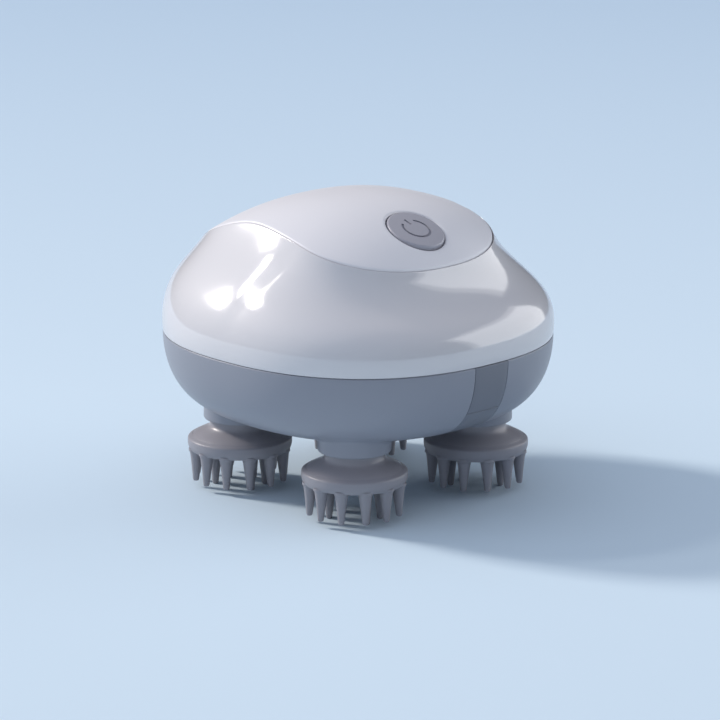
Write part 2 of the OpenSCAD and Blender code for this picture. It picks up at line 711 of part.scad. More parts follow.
module sun_gear() color(gear_white) difference() {
    web_hole_d = 5;
    web_r = (wheel_module * wheel_teeth / 2 + sun_hub_d / 2) / 2;
    union() {
        toothed(sun_module, sun_teeth, gear_z, gear_w, 0);
        rod(bush_z + level_gap, wheel_z + wheel_w, sun_hub_d);
        rod(gear_z + gear_w / 2, wheel_z + wheel_w / 2, wheel_module * (wheel_teeth - 3));
        toothed(wheel_module, wheel_teeth, wheel_z, wheel_w, 0);
    }
    rod(bush_z - 1, wheel_z + wheel_w + 1, sun_axle_d + 2 * run_fit);
    for (a = [30:60:330]) rotate([0, 0, a]) translate([web_r, 0, 0])
        rod(gear_z - 1, wheel_z + wheel_w + 1, web_hole_d);
}
module sun_axle() color(steel) rod(floor_z - axle_sink, deck_z, sun_axle_d);

module idler_gear() color(gear_white) translate([idler_xy.x, idler_xy.y, 0]) difference() {
    union() {
        toothed(wheel_module, idler_pinion_teeth, wheel_z, idler_z - wheel_z + 0.1, idler_pinion_phase);
        toothed(motor_module, idler_wheel_teeth, idler_z, idler_w, 0);
        rod(idler_z, plate_z - level_gap, idler_pin_d + 3);
    }
    rod(wheel_z - 1, plate_z, idler_pin_d + 2 * run_fit);
}
module idler_pin() color(steel) translate([idler_xy.x, idler_xy.y, 0]) {
    rod(wheel_z - 0.6, wheel_z - level_gap, idler_pin_d + 1.6);
    rod(wheel_z - 0.4, deck_z + 2, idler_pin_d);
}

// ---------- Motor ----------
motor_boss_d = 6;
motor_screw_r = 8;
motor_screw_angles = [60, 240];
module motor_can() color(steel) translate([motor_xy.x, motor_xy.y, 0]) difference() {
    union() {
        rod(deck_z, deck_z + motor_l, motor_d);
        rod(deck_z - 1.5, deck_z + 0.1, motor_boss_d);
    }
    rod(deck_z - 2, deck_z + 12, motor_shaft_d + 2 * run_fit);
    for (a = motor_screw_angles) rotate([0, 0, a]) translate([motor_screw_r, 0, 0])
        rod(deck_z - 1, deck_z + 4, small_screw_d);
}
module motor_end_cap() color(frame_black) translate([motor_xy.x, motor_xy.y, deck_z + motor_l]) {
    cap_t = 2;
    hub_h = 1.2;
    tab = [0.5, 2.4, 2.5];
    tab_x = 7;
    rod(0, cap_t, motor_d - 2);
    rod(cap_t / 2, cap_t + hub_h, motor_boss_d);
    for (s = [-1, 1]) translate([s * tab_x - tab.x / 2, -tab.y / 2, cap_t / 2])
        cube([tab.x, tab.y, cap_t / 2 + tab.z]);
}
module motor_screws() color(steel) translate([motor_xy.x, motor_xy.y, 0])
    for (a = motor_screw_angles) rotate([0, 0, a]) translate([motor_screw_r, 0, 0])
        translate([0, 0, plate_z + 0.7 * small_screw_d]) screw(small_screw_d, plate_t + 1.8);
module motor_shaft() color(steel) translate([motor_xy.x, motor_xy.y, 0])
    rod(idler_z - 0.6, deck_z + 11, motor_shaft_d);
module motor_pinion() color(bronze) translate([motor_xy.x, motor_xy.y, 0]) difference() {
    toothed(motor_module, motor_pinion_teeth, idler_z - 0.4, idler_w + 0.8, motor_pinion_phase);
    rod(idler_z - 1, plate_z, motor_shaft_d);
}

// ---------- Battery ----------
cradle_t = 1.2;
battery_z = deck_z + cradle_t + battery_d / 2 + seat_fit;
module battery() color(cell_blue) translate([0, battery_y, battery_z]) rotate([0, 90, 0]) {
    tip_l = 1.2;
    tip_d = 6;
    translate([0, 0, -battery_l / 2]) cylinder(h = battery_l - tip_l, d = battery_d);
    translate([0, 0, battery_l / 2 - 2 * tip_l]) cylinder(h = 2 * tip_l, d = tip_d);
}
module battery_cradle() color(frame_black) difference() {
    width = battery_d - 4;
    end_gap = 4;
    rib_t = 3;
    union() {
        translate([end_gap - battery_l / 2, battery_y - width / 2, deck_z])
            cube([battery_l - 2 * end_gap, width, cradle_t]);
        for (x = [-1, 0, 1]) translate([x * battery_l / 3 - rib_t / 2, battery_y - width / 2, deck_z])
            cube([rib_t, width, battery_d / 2 - 1]);
    }
    translate([0, battery_y, battery_z]) rotate([0, 90, 0])
        cylinder(h = 2 * battery_l, d = battery_d + 2 * seat_fit, center = true);
}

// ---------- Massage heads ----------
disc_d = pad_d - 2.9;
cap_under = lip_z - 2.1;
slope_z = lip_z + 0.5;
screw_sink = 1.5;
spindle_foot = cap_under + 2.5;
spindle_thread = 5;
clip_t = 0.6;
module head_cap() color(head_grey) difference() {
    r = disc_d / 2;
    n = neck_d / 2;
    rotate_extrude() polygon([
        [0, cap_under], [r, cap_under], [r, slope_z], [lerp(r, n, 0.2), slope_z + 0.7],
        [lerp(r, n, 0.45), slope_z + 1.4], [lerp(r, n, 0.7), slope_z + 2], [lerp(r, n, 0.88), slope_z + 2.55],
        [lerp(r, n, 0.97), slope_z + 3.1], [n, slope_z + 3.7], [n, neck_z], [0, neck_z]]);
    rod(spindle_foot, neck_z + 1, spindle_d);
    rod(cap_under - 1, neck_z, small_screw_d + 4 * seat_fit);
    rod(cap_under - 1, cap_under + screw_sink, 2 * small_screw_d + 4 * seat_fit);
}
module finger(root_z, tip_z) {
    // Turned outline: flat-ended round tip, slim taper and a flared root
    tip = finger_tip_d / 2;
    root = finger_root_d / 2;
    l = root_z - tip_z;
    translate([0, 0, tip_z]) rotate_extrude($fn = 24) polygon([
        [0, 0], [tip * 0.5, 0], [tip * 0.85, tip * 0.35], [tip, tip * 0.9],
        [lerp(tip, root, 0.5), l * 0.6], [root * 0.92, l * 0.88], [root, l + 0.3], [0, l + 0.3]]);
}
module finger_ring(count, r, start, tip_z) {
    for (k = [0:count - 1]) rotate([0, 0, start + k * 360 / count]) translate([r, 0, 0])
        finger(pad_z, tip_z);
}
module head_pad() color(head_grey) {
    r = pad_d / 2;
    difference() {
        rotate_extrude() polygon([
            [0, pad_z], [r - 0.9, pad_z], [r - 0.3, pad_z + 0.7], [r, pad_z + 2.1],
            [r - 0.1, lip_z - 0.9], [r - 0.4, lip_z - 0.25], [r - 0.85, lip_z + 0.2],
            [disc_d / 2 + 2 * seat_fit, slope_z], [0, slope_z]]);
        rod(cap_under - seat_fit, slope_z + 1, disc_d + 2 * seat_fit);
    }
    finger_ring(outer_fingers, outer_ring_r, 0, finger_step);
    finger_ring(inner_fingers, inner_ring_r, 15, 0);
}
module head_spindle() color(steel) difference() {
    union() {
        rod(spindle_foot, gear_z, spindle_d);
        rod(gear_z - 0.1, head_hub_z + clip_t + level_gap, gear_seat_d);
        rod(head_hub_z + clip_t, deck_z - level_gap, spindle_top_d);
    }
    rod(spindle_foot - 1, spindle_foot + spindle_thread + blind, small_screw_d);
}
head_hub_z = gear_z + gear_w + 1;
module head_gear(h) color(gear_white) difference() {
    union() {
        toothed(sun_module, head_teeth, gear_z, gear_w, mesh_phase(h[1], sun_teeth, 0, head_teeth));
        rod(gear_z, head_hub_z, gear_seat_d + 5);
    }
    rod(gear_z - 1, head_hub_z + 1, gear_seat_d);
    ring(gear_z + gear_w - 1, gear_z + gear_w + 0.01, sun_module * (head_teeth - 4.5), gear_seat_d + 5);
}
module head_clip() color(steel)
    ring(head_hub_z, head_hub_z + clip_t, gear_seat_d + 3, gear_seat_d);
module head_screw() color(steel)
    translate([0, 0, cap_under + screw_sink])
        screw(small_screw_d, spindle_foot - cap_under - screw_sink + spindle_thread);

lower_housing();
upper_shell();
top_cover();
seam_gasket();
power_button();
button_gasket();
control_board();
tact_switch();
board_screws();
front_band();
port_flap();
charge_socket();
charge_board();
gearbox_plate();
plate_screws();
closing_screws();
shaft_seals();
lower_bushes();
upper_bushes();
sun_gear();
sun_axle();
idler_gear();
idler_pin();
motor_can();
motor_end_cap();
motor_screws();
motor_shaft();
motor_pinion();
battery();
battery_cradle();
for (h = HEADS) {
    at_head(h) head_cap();
    at_head(h) head_pad();
    at_head(h) head_spindle();
    at_head(h) head_gear(h);
    at_head(h) head_clip();
    at_head(h) head_screw();
}
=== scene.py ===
import json
import math
import bpy
import bmesh
import numpy as np
from mathutils import Matrix, Vector
from mathutils.geometry import delaunay_2d_cdt


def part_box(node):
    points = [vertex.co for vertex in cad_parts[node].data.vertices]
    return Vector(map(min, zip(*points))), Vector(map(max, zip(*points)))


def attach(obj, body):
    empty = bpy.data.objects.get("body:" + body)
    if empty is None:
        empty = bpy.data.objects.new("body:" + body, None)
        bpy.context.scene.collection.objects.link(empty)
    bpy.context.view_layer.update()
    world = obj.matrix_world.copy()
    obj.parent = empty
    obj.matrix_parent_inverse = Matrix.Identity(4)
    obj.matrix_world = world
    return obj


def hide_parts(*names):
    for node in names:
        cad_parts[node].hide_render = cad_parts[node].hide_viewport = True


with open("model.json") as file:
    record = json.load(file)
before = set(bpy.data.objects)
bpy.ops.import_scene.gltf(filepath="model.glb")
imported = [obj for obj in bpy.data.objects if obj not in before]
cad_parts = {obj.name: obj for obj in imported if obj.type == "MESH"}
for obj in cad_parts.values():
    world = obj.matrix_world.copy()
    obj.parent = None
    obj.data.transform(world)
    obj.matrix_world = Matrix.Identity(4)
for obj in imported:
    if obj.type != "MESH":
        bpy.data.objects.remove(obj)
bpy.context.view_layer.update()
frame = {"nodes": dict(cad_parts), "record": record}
scene = bpy.context.scene

# ---------- Camera ----------
# A long lens at the front left of the massager, a little above it.
mm = 0.001
camera = bpy.data.objects.new("Camera", bpy.data.cameras.new("Camera"))
camera.data.lens = 225
camera.data.clip_start, camera.data.clip_end = 0.05, 30
camera_turn, camera_lift = math.radians(-43.5), math.radians(14.8)
camera_aim = Vector((0.46 * mm, -0.44 * mm, 37.14 * mm))
camera_way = 1291.5 * mm
towards_camera = Vector((math.sin(camera_turn) * math.cos(camera_lift),
                         -math.cos(camera_turn) * math.cos(camera_lift),
                         math.sin(camera_lift)))
camera.location = camera_aim + camera_way * towards_camera
camera.rotation_euler = (-towards_camera).to_track_quat("-Z", "Y").to_euler()
scene.collection.objects.link(camera)
scene.camera = camera

# ---------- Floor ----------
# A plain pale blue studio floor, painted matt and flat. It runs past the edges of the view, and its
# colour is painted darker behind the massager, towards the back right, as painted shade for the light
# falling off.


def linear(r, g, b):
    """A colour written as 0 to 255, in the linear light that Blender works in."""
    return tuple((c / 255 / 12.92) if c < 11 else ((c / 255 + 0.055) / 1.055) ** 2.4
                 for c in (r, g, b)) + (1,)


def new_material(name):
    """A material with its Principled shader, ready to be wired."""
    material = bpy.data.materials.new(name)
    material.use_nodes = True
    return material, material.node_tree, material.node_tree.nodes["Principled BSDF"]


def add_node(tree, kind, inputs=None, **settings):
    """A node with its settings and with the plain values of its inputs."""
    made = tree.nodes.new(kind)
    for setting, value in settings.items():
        setattr(made, setting, value)
    for label, value in (inputs or {}).items():
        made.inputs[label].default_value = value
    return made


def wire(tree, *links):
    """Joins nodes; a link is a node, its output, the next node and the input that it feeds."""
    for source, output, target, socket in links:
        tree.links.new(source.outputs[output], target.inputs[socket])


def add_object(name, mesh):
    """An object in the scene that carries this mesh."""
    piece = bpy.data.objects.new(name, mesh)
    scene.collection.objects.link(piece)
    return piece


floor_reach = 12.0
floor_mesh = bpy.data.meshes.new("floor")
floor_mesh.from_pydata([(x * floor_reach, y * floor_reach, 0) for x, y in
                        ((-1, -1), (1, -1), (1, 1), (-1, 1))], [], [(0, 1, 2, 3)])
floor = add_object("floor", floor_mesh)
floor_paint, floor_tree, floor_shader = new_material("floor paint")
floor_place = add_node(floor_tree, "ShaderNodeTexCoord")
# Painted shade: the floor's colour darkens towards the back right, standing in for the light's falloff
way_back = add_node(floor_tree, "ShaderNodeVectorMath", {1: (0.69, 0.72, 0)}, operation="DOT_PRODUCT")
painted_shade_share = add_node(floor_tree, "ShaderNodeMapRange", {"From Min": 0.1, "From Max": 0.8})
floor_tone = add_node(floor_tree, "ShaderNodeMix", data_type="RGBA",
                      inputs={"A": linear(215, 233, 245), "B": linear(187, 208, 226)})
wire(floor_tree, (floor_place, "Object", way_back, 0), (way_back, "Value", painted_shade_share, "Value"),
     (painted_shade_share, "Result", floor_tone, "Factor"), (floor_tone, "Result", floor_shader, "Base Color"))
floor_shader.inputs["Roughness"].default_value = 0.7
floor_shader.inputs["Specular IOR Level"].default_value = 0.1
floor_mesh.materials.append(floor_paint)

# ---------- Light ----------
# A warm softbox at the back left with a small pane above it, a broad pale panel at the right,
# and a card beside that panel that shows only in glossy surfaces. The fill is blue overhead,
# leans to the left and dims towards the horizon.


def soft_panel(name, turn, lift, distance, width, height, power, colour):
    """An area lamp that faces the massager; turn is in degrees from +X towards +Y."""
    lamp = bpy.data.lights.new(name, "AREA")
    lamp.shape = "RECTANGLE"
    lamp.size, lamp.size_y = width, height
    lamp.energy = power
    lamp.color = colour
    holder = bpy.data.objects.new(name, lamp)
    scene.collection.objects.link(holder)
    turn, lift = math.radians(turn), math.radians(lift)
    way = Vector((math.cos(turn) * math.cos(lift), math.sin(turn) * math.cos(lift), math.sin(lift)))
    holder.location = camera_aim + distance * way
    holder.rotation_euler = (-way).to_track_quat("-Z", "Y").to_euler()
    return holder


soft_panel("key softbox", turn=113.5, lift=30, distance=5.0, width=0.7, height=0.7, power=165,
           colour=(1, 0.93, 0.87))
soft_panel("second pane", turn=119, lift=42, distance=5.0, width=0.45, height=0.45, power=26,
           colour=(1, 0.94, 0.88))
soft_panel("side panel", turn=-25, lift=20, distance=2.6, width=2.9, height=2.0, power=22,
           colour=(0.97, 0.98, 1))
card = soft_panel("reflection card", turn=-27, lift=22, distance=2.6, width=3.2, height=2.2, power=18,
                  colour=(1, 0.98, 0.98))
card.visible_diffuse = False

scene.world = bpy.data.worlds.new("studio fill")
scene.world.use_nodes = True
sky = scene.world.node_tree
sky_way = add_node(sky, "ShaderNodeTexCoord")
sky_lean = add_node(sky, "ShaderNodeVectorMath", {1: (-0.42, 0.15, 0.895)}, operation="DOT_PRODUCT")
sky_tone = add_node(sky, "ShaderNodeMix", {"A": (0.05, 0.055, 0.07, 1), "B": (0.64, 0.705, 0.85, 1)},
                    data_type="RGBA")
wire(sky, (sky_way, "Generated", sky_lean, 0), (sky_lean, "Value", sky_tone, "Factor"),
     (sky_tone, "Result", sky.nodes["Background"], "Color"))
scene.view_settings.view_transform = "Standard"

# ---------- Lower housing ----------
# The blue-grey lower half, injection moulded in ABS. Four collars stand out of its belly
# for the head spindles, and a channel runs down its front for the charging flap.
housing_lo, housing_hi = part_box("lower_housing")
body_w = housing_hi.x - housing_lo.x
body_l = 2 * housing_hi.y
seam_z = housing_hi.z
boss_z = housing_lo.z
body_square = 2.3
belly_full = 6.3
belly_rise = 2.02
housing_h = 23.8 * mm
belly_z = seam_z - housing_h
wall = 2.4 * mm
head_places = {}
for corner in ("front_left", "front_right", "back_right", "back_left"):
    low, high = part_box(corner + "_pad")
    head_places[corner] = ((low.x + high.x) / 2, (low.y + high.y) / 2)


def outline(turn, inset=0.0):
    """A point of the body's plan; turn starts at the front and goes towards +X."""
    x, y = math.sin(turn), -math.cos(turn)
    half_w, half_l = body_w / 2 - inset, body_l / 2 - inset
    reach = (abs(x / half_w) ** body_square + abs(y / half_l) ** body_square) ** (-1 / body_square)
    return reach * x, reach * y


def plan_share(x, y):
    """How far a point of the plan is from the middle (0) to the seam's outline (1)."""
    return (abs(2 * x / body_w) ** body_square + abs(2 * y / body_l) ** body_square) ** (1 / body_square)


def belly_at(x, y, rise=0.0):
    """Height of the belly's outside above a point of the plan, or of its inside."""
    share = min(plan_share(x, y), 1.0)
    return seam_z - (housing_h - rise) * (1 - share ** belly_full) ** (1 / belly_rise)


# The belly's meridian by its length from the middle, so that rows are evenly spaced
fine_steps = 3001
climb = np.radians(np.linspace(90, 0, fine_steps))
meridian_share = np.cos(climb) ** (2 / belly_full)
meridian_share[0] = 0
meridian_z = seam_z - housing_h * np.sin(climb) ** (2 / belly_rise)
meridian_run = np.concatenate(([0], np.cumsum(np.hypot(
    np.diff(meridian_share) * (body_w + body_l) / 4, np.diff(meridian_z)))))
belly_run = meridian_run[-1]


def loft(rings, closed=False, fan_start=False, fan_end=False):
    """Points and faces through rings of the same count, with a fan to a pole at an end."""
    count = len(rings[0])
    points = [tuple(p) for ring in rings for p in ring]
    faces = []
    rows = len(rings) if closed else len(rings) - 1
    for i in range(rows):
        a, b = i * count, ((i + 1) % len(rings)) * count
        for j in range(count):
            k = (j + 1) % count
            faces.append((a + j, a + k, b + k, b + j))
    for wanted, start in ((fan_start, 0), (fan_end, (len(rings) - 1) * count)):
        if wanted:
            ring = points[start:start + count]
            points.append(tuple(sum(c) / count for c in zip(*ring)))
            faces += [(start + (j + 1) % count, start + j, len(points) - 1) for j in range(count)]
    return points, faces


def solid(name, parts, weld=0.002 * mm):
    """One closed mesh from lists of points and faces, welded, with its faces outwards."""
    work = bmesh.new()
    for points, faces in parts:
        made = [work.verts.new(p) for p in points]
        for face in faces:
            corners = [made[i] for i in face]
            if len(set(corners)) == len(corners):
                work.faces.new(corners)
    bmesh.ops.remove_doubles(work, verts=work.verts, dist=weld)
    bmesh.ops.recalc_face_normals(work, faces=work.faces)
    mesh = bpy.data.meshes.new(name)
    work.to_mesh(mesh)
    work.free()
    return add_object(name, mesh)


def full_turn(columns):
    """The angles of this many columns, evenly spaced round a full turn."""
    return [j * math.tau / columns for j in range(columns)]


def turned(profile, centre=(0, 0), columns=96, hollow=False):
    """Points and faces of an outline of (radius, height), turned about a vertical axis.
    The outline of a hollow piece is closed and stays clear of the axis."""
    rings = [[(centre[0] + r * math.cos(a), centre[1] + r * math.sin(a), z)
              for a in full_turn(columns)] for r, z in profile]
    return loft(rings, closed=hollow, fan_start=not hollow, fan_end=not hollow)


def cut_or_join(piece, other, operation):
    """An exact boolean with another object, which is used up."""
    modifier = piece.modifiers.new("boolean", "BOOLEAN")
    modifier.operation, modifier.solver, modifier.object = operation, "EXACT", other
    scene_graph = bpy.context.evaluated_depsgraph_get()
    result = bpy.data.meshes.new_from_object(piece.evaluated_get(scene_graph))
    piece.modifiers.remove(modifier)
    old = piece.data
    piece.data = result
    bpy.data.meshes.remove(old)
    spent = other.data
    bpy.data.objects.remove(other)
    bpy.data.meshes.remove(spent)


def finish_mesh(piece, material, sharp=32):
    """Smooth shading that breaks at true edges, and the piece's one material."""
    piece.data.shade_smooth()
    piece.data.set_sharp_from_angle(angle=math.radians(sharp))
    piece.data.materials.clear()
    piece.data.materials.append(material)


belly_columns = 256
belly_rows = 62
edge_round = 0.3 * mm
collar_r = 10.4 * mm
cove_w, cove_h = 1.3 * mm, 1.2 * mm
collar_round = 0.5 * mm
collar_columns = 96
grid_clear = 2.9 * mm
slack = 0.001
ring_steps = (0, 0.5 * mm, 1.2 * mm, 2.1 * mm)
lip_t = 1.4 * mm
rebate = 1.2 * mm
lower_band = seam_z - edge_round


def spread(x, y):
    """Where a point of the belly lies when the belly is rolled out flat."""
    run = np.interp(plan_share(x, y), meridian_share, meridian_run)
    size = math.hypot(x, y) or 1
    return Vector((run * x / size, run * y / size))


def around(centre, radius):
    """A ring of points of the plan, as many as a collar has columns."""
    return [(centre[0] + radius * math.cos(a), centre[1] + radius * math.sin(a))
            for a in full_turn(collar_columns)]


# The belly's skin: a polar grid with a ring of points round each collar, joined by triangles
top_run = np.interp(lower_band, meridian_z, meridian_run)
top_share = np.interp(lower_band, meridian_z, meridian_share)
rim_turns = full_turn(belly_columns)
plan_points, flat_points, ring_edges = [], [], []
cove_out = collar_r + cove_w
for row in range(1, belly_rows + 1):
    run = top_run * row / belly_rows
    share = top_share if row == belly_rows else np.interp(run, meridian_run, meridian_share)
    for t in rim_turns:
        x, y = (c * share for c in outline(t))
        if all(math.hypot(x - c[0], y - c[1]) > cove_out + grid_clear for c in head_places.values()):
            plan_points.append((x, y))
            flat_points.append(spread(x, y))
plan_points.append((0.0, 0.0))
flat_points.append(Vector((0, 0)))
for centre in head_places.values():
    for extra in ring_steps:
        ring = around(centre, cove_out + extra)
        first = len(plan_points)
        plan_points += ring
        flat_points += [spread(x, y) for x, y in ring]
        if extra == 0:
            ring_edges += [(first + j, first + (j + 1) % collar_columns) for j in range(collar_columns)]
found = delaunay_2d_cdt(flat_points, ring_edges, [], 0, 1e-9)
source = [origin[0] for origin in found[3]]
belly_points = [(x, y, belly_at(x, y)) for x, y in (plan_points[i] for i in source)]
belly_faces = []
for face in found[2]:
    x = sum(belly_points[i][0] for i in face) / 3
    y = sum(belly_points[i][1] for i in face) / 3
    if all(math.hypot(x - c[0], y - c[1]) > cove_out * (1 - slack) for c in head_places.values()):
        belly_faces.append(tuple(face))

# The seam's edge, the lip with the rebate for the gasket, and the inside
rim_rings = [[(*(c * top_share for c in outline(t)), belly_at(*(c * top_share for c in outline(t))))
              for t in rim_turns]]
for a in (22.5, 45, 67.5, 90):
    a = math.radians(a)
    rim_rings.append([(*outline(t, edge_round * (1 - math.cos(a))), lower_band + edge_round * math.sin(a))
                      for t in rim_turns])
for inset, height in ((lip_t, seam_z), (lip_t, seam_z - rebate), (wall, seam_z - rebate)):
    rim_rings.append([(*outline(t, inset), height) for t in rim_turns])
for a in range(5, 90, 5):
    a = math.radians(a)
    share = math.cos(a) ** (2 / belly_full)
    depth = (housing_h - wall) * math.sin(a) ** (2 / belly_rise)
    rim_rings.append([(*(c * share for c in outline(t, wall)), seam_z - depth) for t in rim_turns])

# Each collar: a small cove off the belly, a straight side, a rounded foot and the seal's bore
seal_r, seal_ease = 6.1 * mm, 0.3 * mm
seal_top = boss_z + 3.2 * mm
collars = []
for centre in head_places.values():
    rings = []
    for step in range(7):
        u = step / 6
        ring = []
        for out_point, in_point in zip(around(centre, cove_out), around(centre, collar_r)):
            start = Vector((*out_point, belly_at(*out_point)))
            bend = Vector((*in_point, belly_at(*in_point)))
            end = bend - Vector((0, 0, cove_h))
            ring.append(start * (1 - u) ** 2 + 2 * bend * u * (1 - u) + end * u * u)
        rings.append(ring)
    for a in range(0, 91, 15):
        a = math.radians(a)
        rings.append([(x, y, boss_z + collar_round * (1 - math.sin(a)))
                      for x, y in around(centre, collar_r - collar_round * (1 - math.cos(a)))])
    for r, z in ((seal_r + seal_ease, boss_z), (seal_r, boss_z + seal_ease), (seal_r, seal_top)):
        rings.append([(x, y, z) for x, y in around(centre, r)])
    collars.append(loft(rings, fan_end=True))

lower_housing = solid("lower_housing_moulding",
                      [(belly_points, belly_faces), loft(rim_rings, fan_end=True)] + collars)

# Posts inside for the closing screws, the gearbox plate, the bushes, the sun gear's axle and
# the charging board, each as (places, radius, height of its top)
plate_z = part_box("gearbox_plate")[0].z
closing_places = [(36 * mm, 0), (-36 * mm, 0), (0, 41 * mm)]
plate_places = [(27.5 * mm, 0), (-27.5 * mm, 0), (0, -29 * mm)]
charge_places = [(-5.2 * mm, -39 * mm), (5.2 * mm, -39 * mm)]
bush_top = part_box("lower_bushes")[1].z - 0.6 * mm
post_ease = 0.3 * mm
post_kinds = ((closing_places, 4.5 * mm, plate_z), (plate_places, 2.6 * mm, plate_z),
              (head_places.values(), 6.1 * mm, bush_top), ([(0, 0)], 5.5 * mm, bush_top),
              (charge_places, 2.6 * mm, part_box("charge_board")[0].z))
posts = []
for places, r, top in post_kinds:
    for centre in places:
        foot = [(x, y, belly_at(x, y) + wall / 2) for x, y in around(centre, r)]
        side = [(x, y, top - post_ease) for x, y in around(centre, r)]
        end = [(x, y, top) for x, y in around(centre, r - post_ease)]
        posts.append(loft([foot, side, end], fan_start=True, fan_end=True))
cut_or_join(lower_housing, solid("posts", posts), "UNION")

# Bores through the posts, and the deep recesses of the closing screws with eased mouths
mouth, recess_r = 0.4 * mm, 2.9 * mm
screw_bore_r, pilot_r, bush_r, axle_r = 1.4 * mm, 1 * mm, 4.55 * mm, 2 * mm
pilot_depth = 6.5 * mm
past = 1 * mm
recess_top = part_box("closing_screws")[0].z + 1.75 * mm
bores = [turned([(recess_r + 3 * mouth, belly_z - 2 * mouth), (recess_r + mouth, belly_z),
                 (recess_r + 0.3 * mouth, belly_z + 0.3 * mouth), (recess_r, belly_z + mouth),
                 (recess_r, recess_top), (screw_bore_r, recess_top), (screw_bore_r, plate_z + past)],
                p, 48) for p in closing_places]
bores += [turned([(pilot_r, plate_z - pilot_depth), (pilot_r, plate_z + past)], p, 32)
          for p in plate_places]
bores += [turned([(bush_r, seal_top - past / 2), (bush_r, bush_top + past)], p, 48)
          for p in head_places.values()]
bores += [turned([(axle_r, belly_z + wall - past), (axle_r, bush_top + past)], (0, 0), 32)]
cut_or_join(lower_housing, solid("bores", bores), "DIFFERENCE")

# Channel for the band and flap, with eased edges, and the charging port at its top
band_lo, band_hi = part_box("front_band")
band_half = (band_hi.x - band_lo.x) / 2
band_gap = 0.15 * mm
band_depth = 1.3 * mm


def front_point(x, run):
    """A point on the belly's front beside the middle line, by its way down from the seam."""
    share = float(np.interp(belly_run - max(run, 0), meridian_run, meridian_share))
    lean = abs(2 * x / body_w) ** body_square
    y = -body_l / 2 * max(share ** body_square - lean, 1e-9) ** (1 / body_square)
    z = float(np.interp(belly_run - max(run, 0), meridian_run, meridian_z)) + max(-run, 0)
    return Vector((x, y, z))


def sunk_point(x, run, depth):
    """The same point moved in along the belly's normal."""
    d = 0.05 * mm
    here = front_point(x, run)
    down = Vector((0, 0, -1)) if run <= 0 else front_point(x, run + d) - front_point(x, run - d)
    across = front_point(x + d, run) - front_point(x - d, run)
    return here - depth * down.cross(across).normalized()


def strip(sides, runs):
    """A closed strip that follows the belly; sides is its section as (x, depth) pairs."""
    rings = [[sunk_point(x, run, depth) for x, depth in section] for run, section in
             zip(runs, sides)]
    points, faces = loft(rings)
    count = len(rings[0])
    faces.append(tuple(range(count)))
    faces.append(tuple(range((len(rings) - 1) * count, len(rings) * count))[::-1])
    return points, faces


strip_end_run = belly_run - float(np.interp(
    abs(band_hi.y) * 2 / body_l, meridian_share, meridian_run))
channel_runs = list(np.linspace(-1.0 * mm, strip_end_run + 0.3 * mm, 60))
half = band_half + band_gap
ease, cutter_out = 0.12 * mm, 2 * mm
channel_side = [(half, ease), (half + 0.04 * mm, 0.05 * mm), (half + ease, 0),
                (half + ease + cutter_out, -cutter_out)]
channel_section = ([(-x, depth) for x, depth in channel_side[::-1]]
                   + [(x, band_depth) for x in np.linspace(-half, half, 9)] + channel_side)
channel = solid("channel", [strip([channel_section] * len(channel_runs), channel_runs)])
cut_or_join(lower_housing, channel, "DIFFERENCE")

port_z = (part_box("charge_socket")[0].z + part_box("charge_socket")[1].z) / 2
port_w, port_h = 9.6 * mm, 3.8 * mm


def stadium(w, h, y0, y1, z, ends=16):
    """A bar along Y with half-round sides."""
    ring = [((w - h) / 2 * (1 if math.cos(a) > 0 else -1) + h / 2 * math.cos(a), h / 2 * math.sin(a))
            for a in ((j + 0.5) * math.tau / (2 * ends) for j in range(2 * ends))]
    rings = [[(x, y, z + up) for x, up in ring] for y in (y0, y1)]
    points, faces = loft(rings)
    faces += [tuple(range(2 * ends)), tuple(range(2 * ends, 4 * ends))[::-1]]
    return points, faces


port = solid("port", [stadium(port_w, port_h, -body_l / 2, -body_l / 2 + 2 * wall, port_z)])
cut_or_join(lower_housing, port, "DIFFERENCE")


def new_group(name, inputs, outputs):
    """An empty shader group with named sockets; inputs are (name, default) numbers."""
    group = bpy.data.node_groups.new(name, "ShaderNodeTree")
    for label, default in inputs:
        socket = group.interface.new_socket(label, in_out="INPUT", socket_type="NodeSocketFloat")
        socket.default_value = default
    for label, kind in outputs:
        group.interface.new_socket(label, in_out="OUTPUT", socket_type=kind)
    return group, add_node(group, "NodeGroupInput"), add_node(group, "NodeGroupOutput")


# Moulded plastic: a fine grain from the tool, a faint flow ripple and an uneven gloss
grain, grain_in, grain_out = new_group(
    "moulded surface",
    [("Grain Size", 0.3), ("Grain Depth", 0.1), ("Ripple Depth", 0.05), ("Gloss", 0.4),
     ("Gloss Spread", 0.05)],
    [("Normal", "NodeSocketVector"), ("Roughness", "NodeSocketFloat"), ("Tone", "NodeSocketFloat")])
grain_place = add_node(grain, "ShaderNodeTexCoord")
per_size = add_node(grain, "ShaderNodeMath", {0: 1000}, operation="DIVIDE")
fine = add_node(grain, "ShaderNodeTexNoise", {"Detail": 2})
broad = add_node(grain, "ShaderNodeTexNoise", {"Scale": 28, "Detail": 3})
fine_bump = add_node(grain, "ShaderNodeBump", {"Distance": 0.05 * mm})
broad_bump = add_node(grain, "ShaderNodeBump", {"Distance": 0.4 * mm})
centred = add_node(grain, "ShaderNodeMath", {1: 0.5}, operation="SUBTRACT")
gloss = add_node(grain, "ShaderNodeMath", operation="MULTIPLY_ADD")
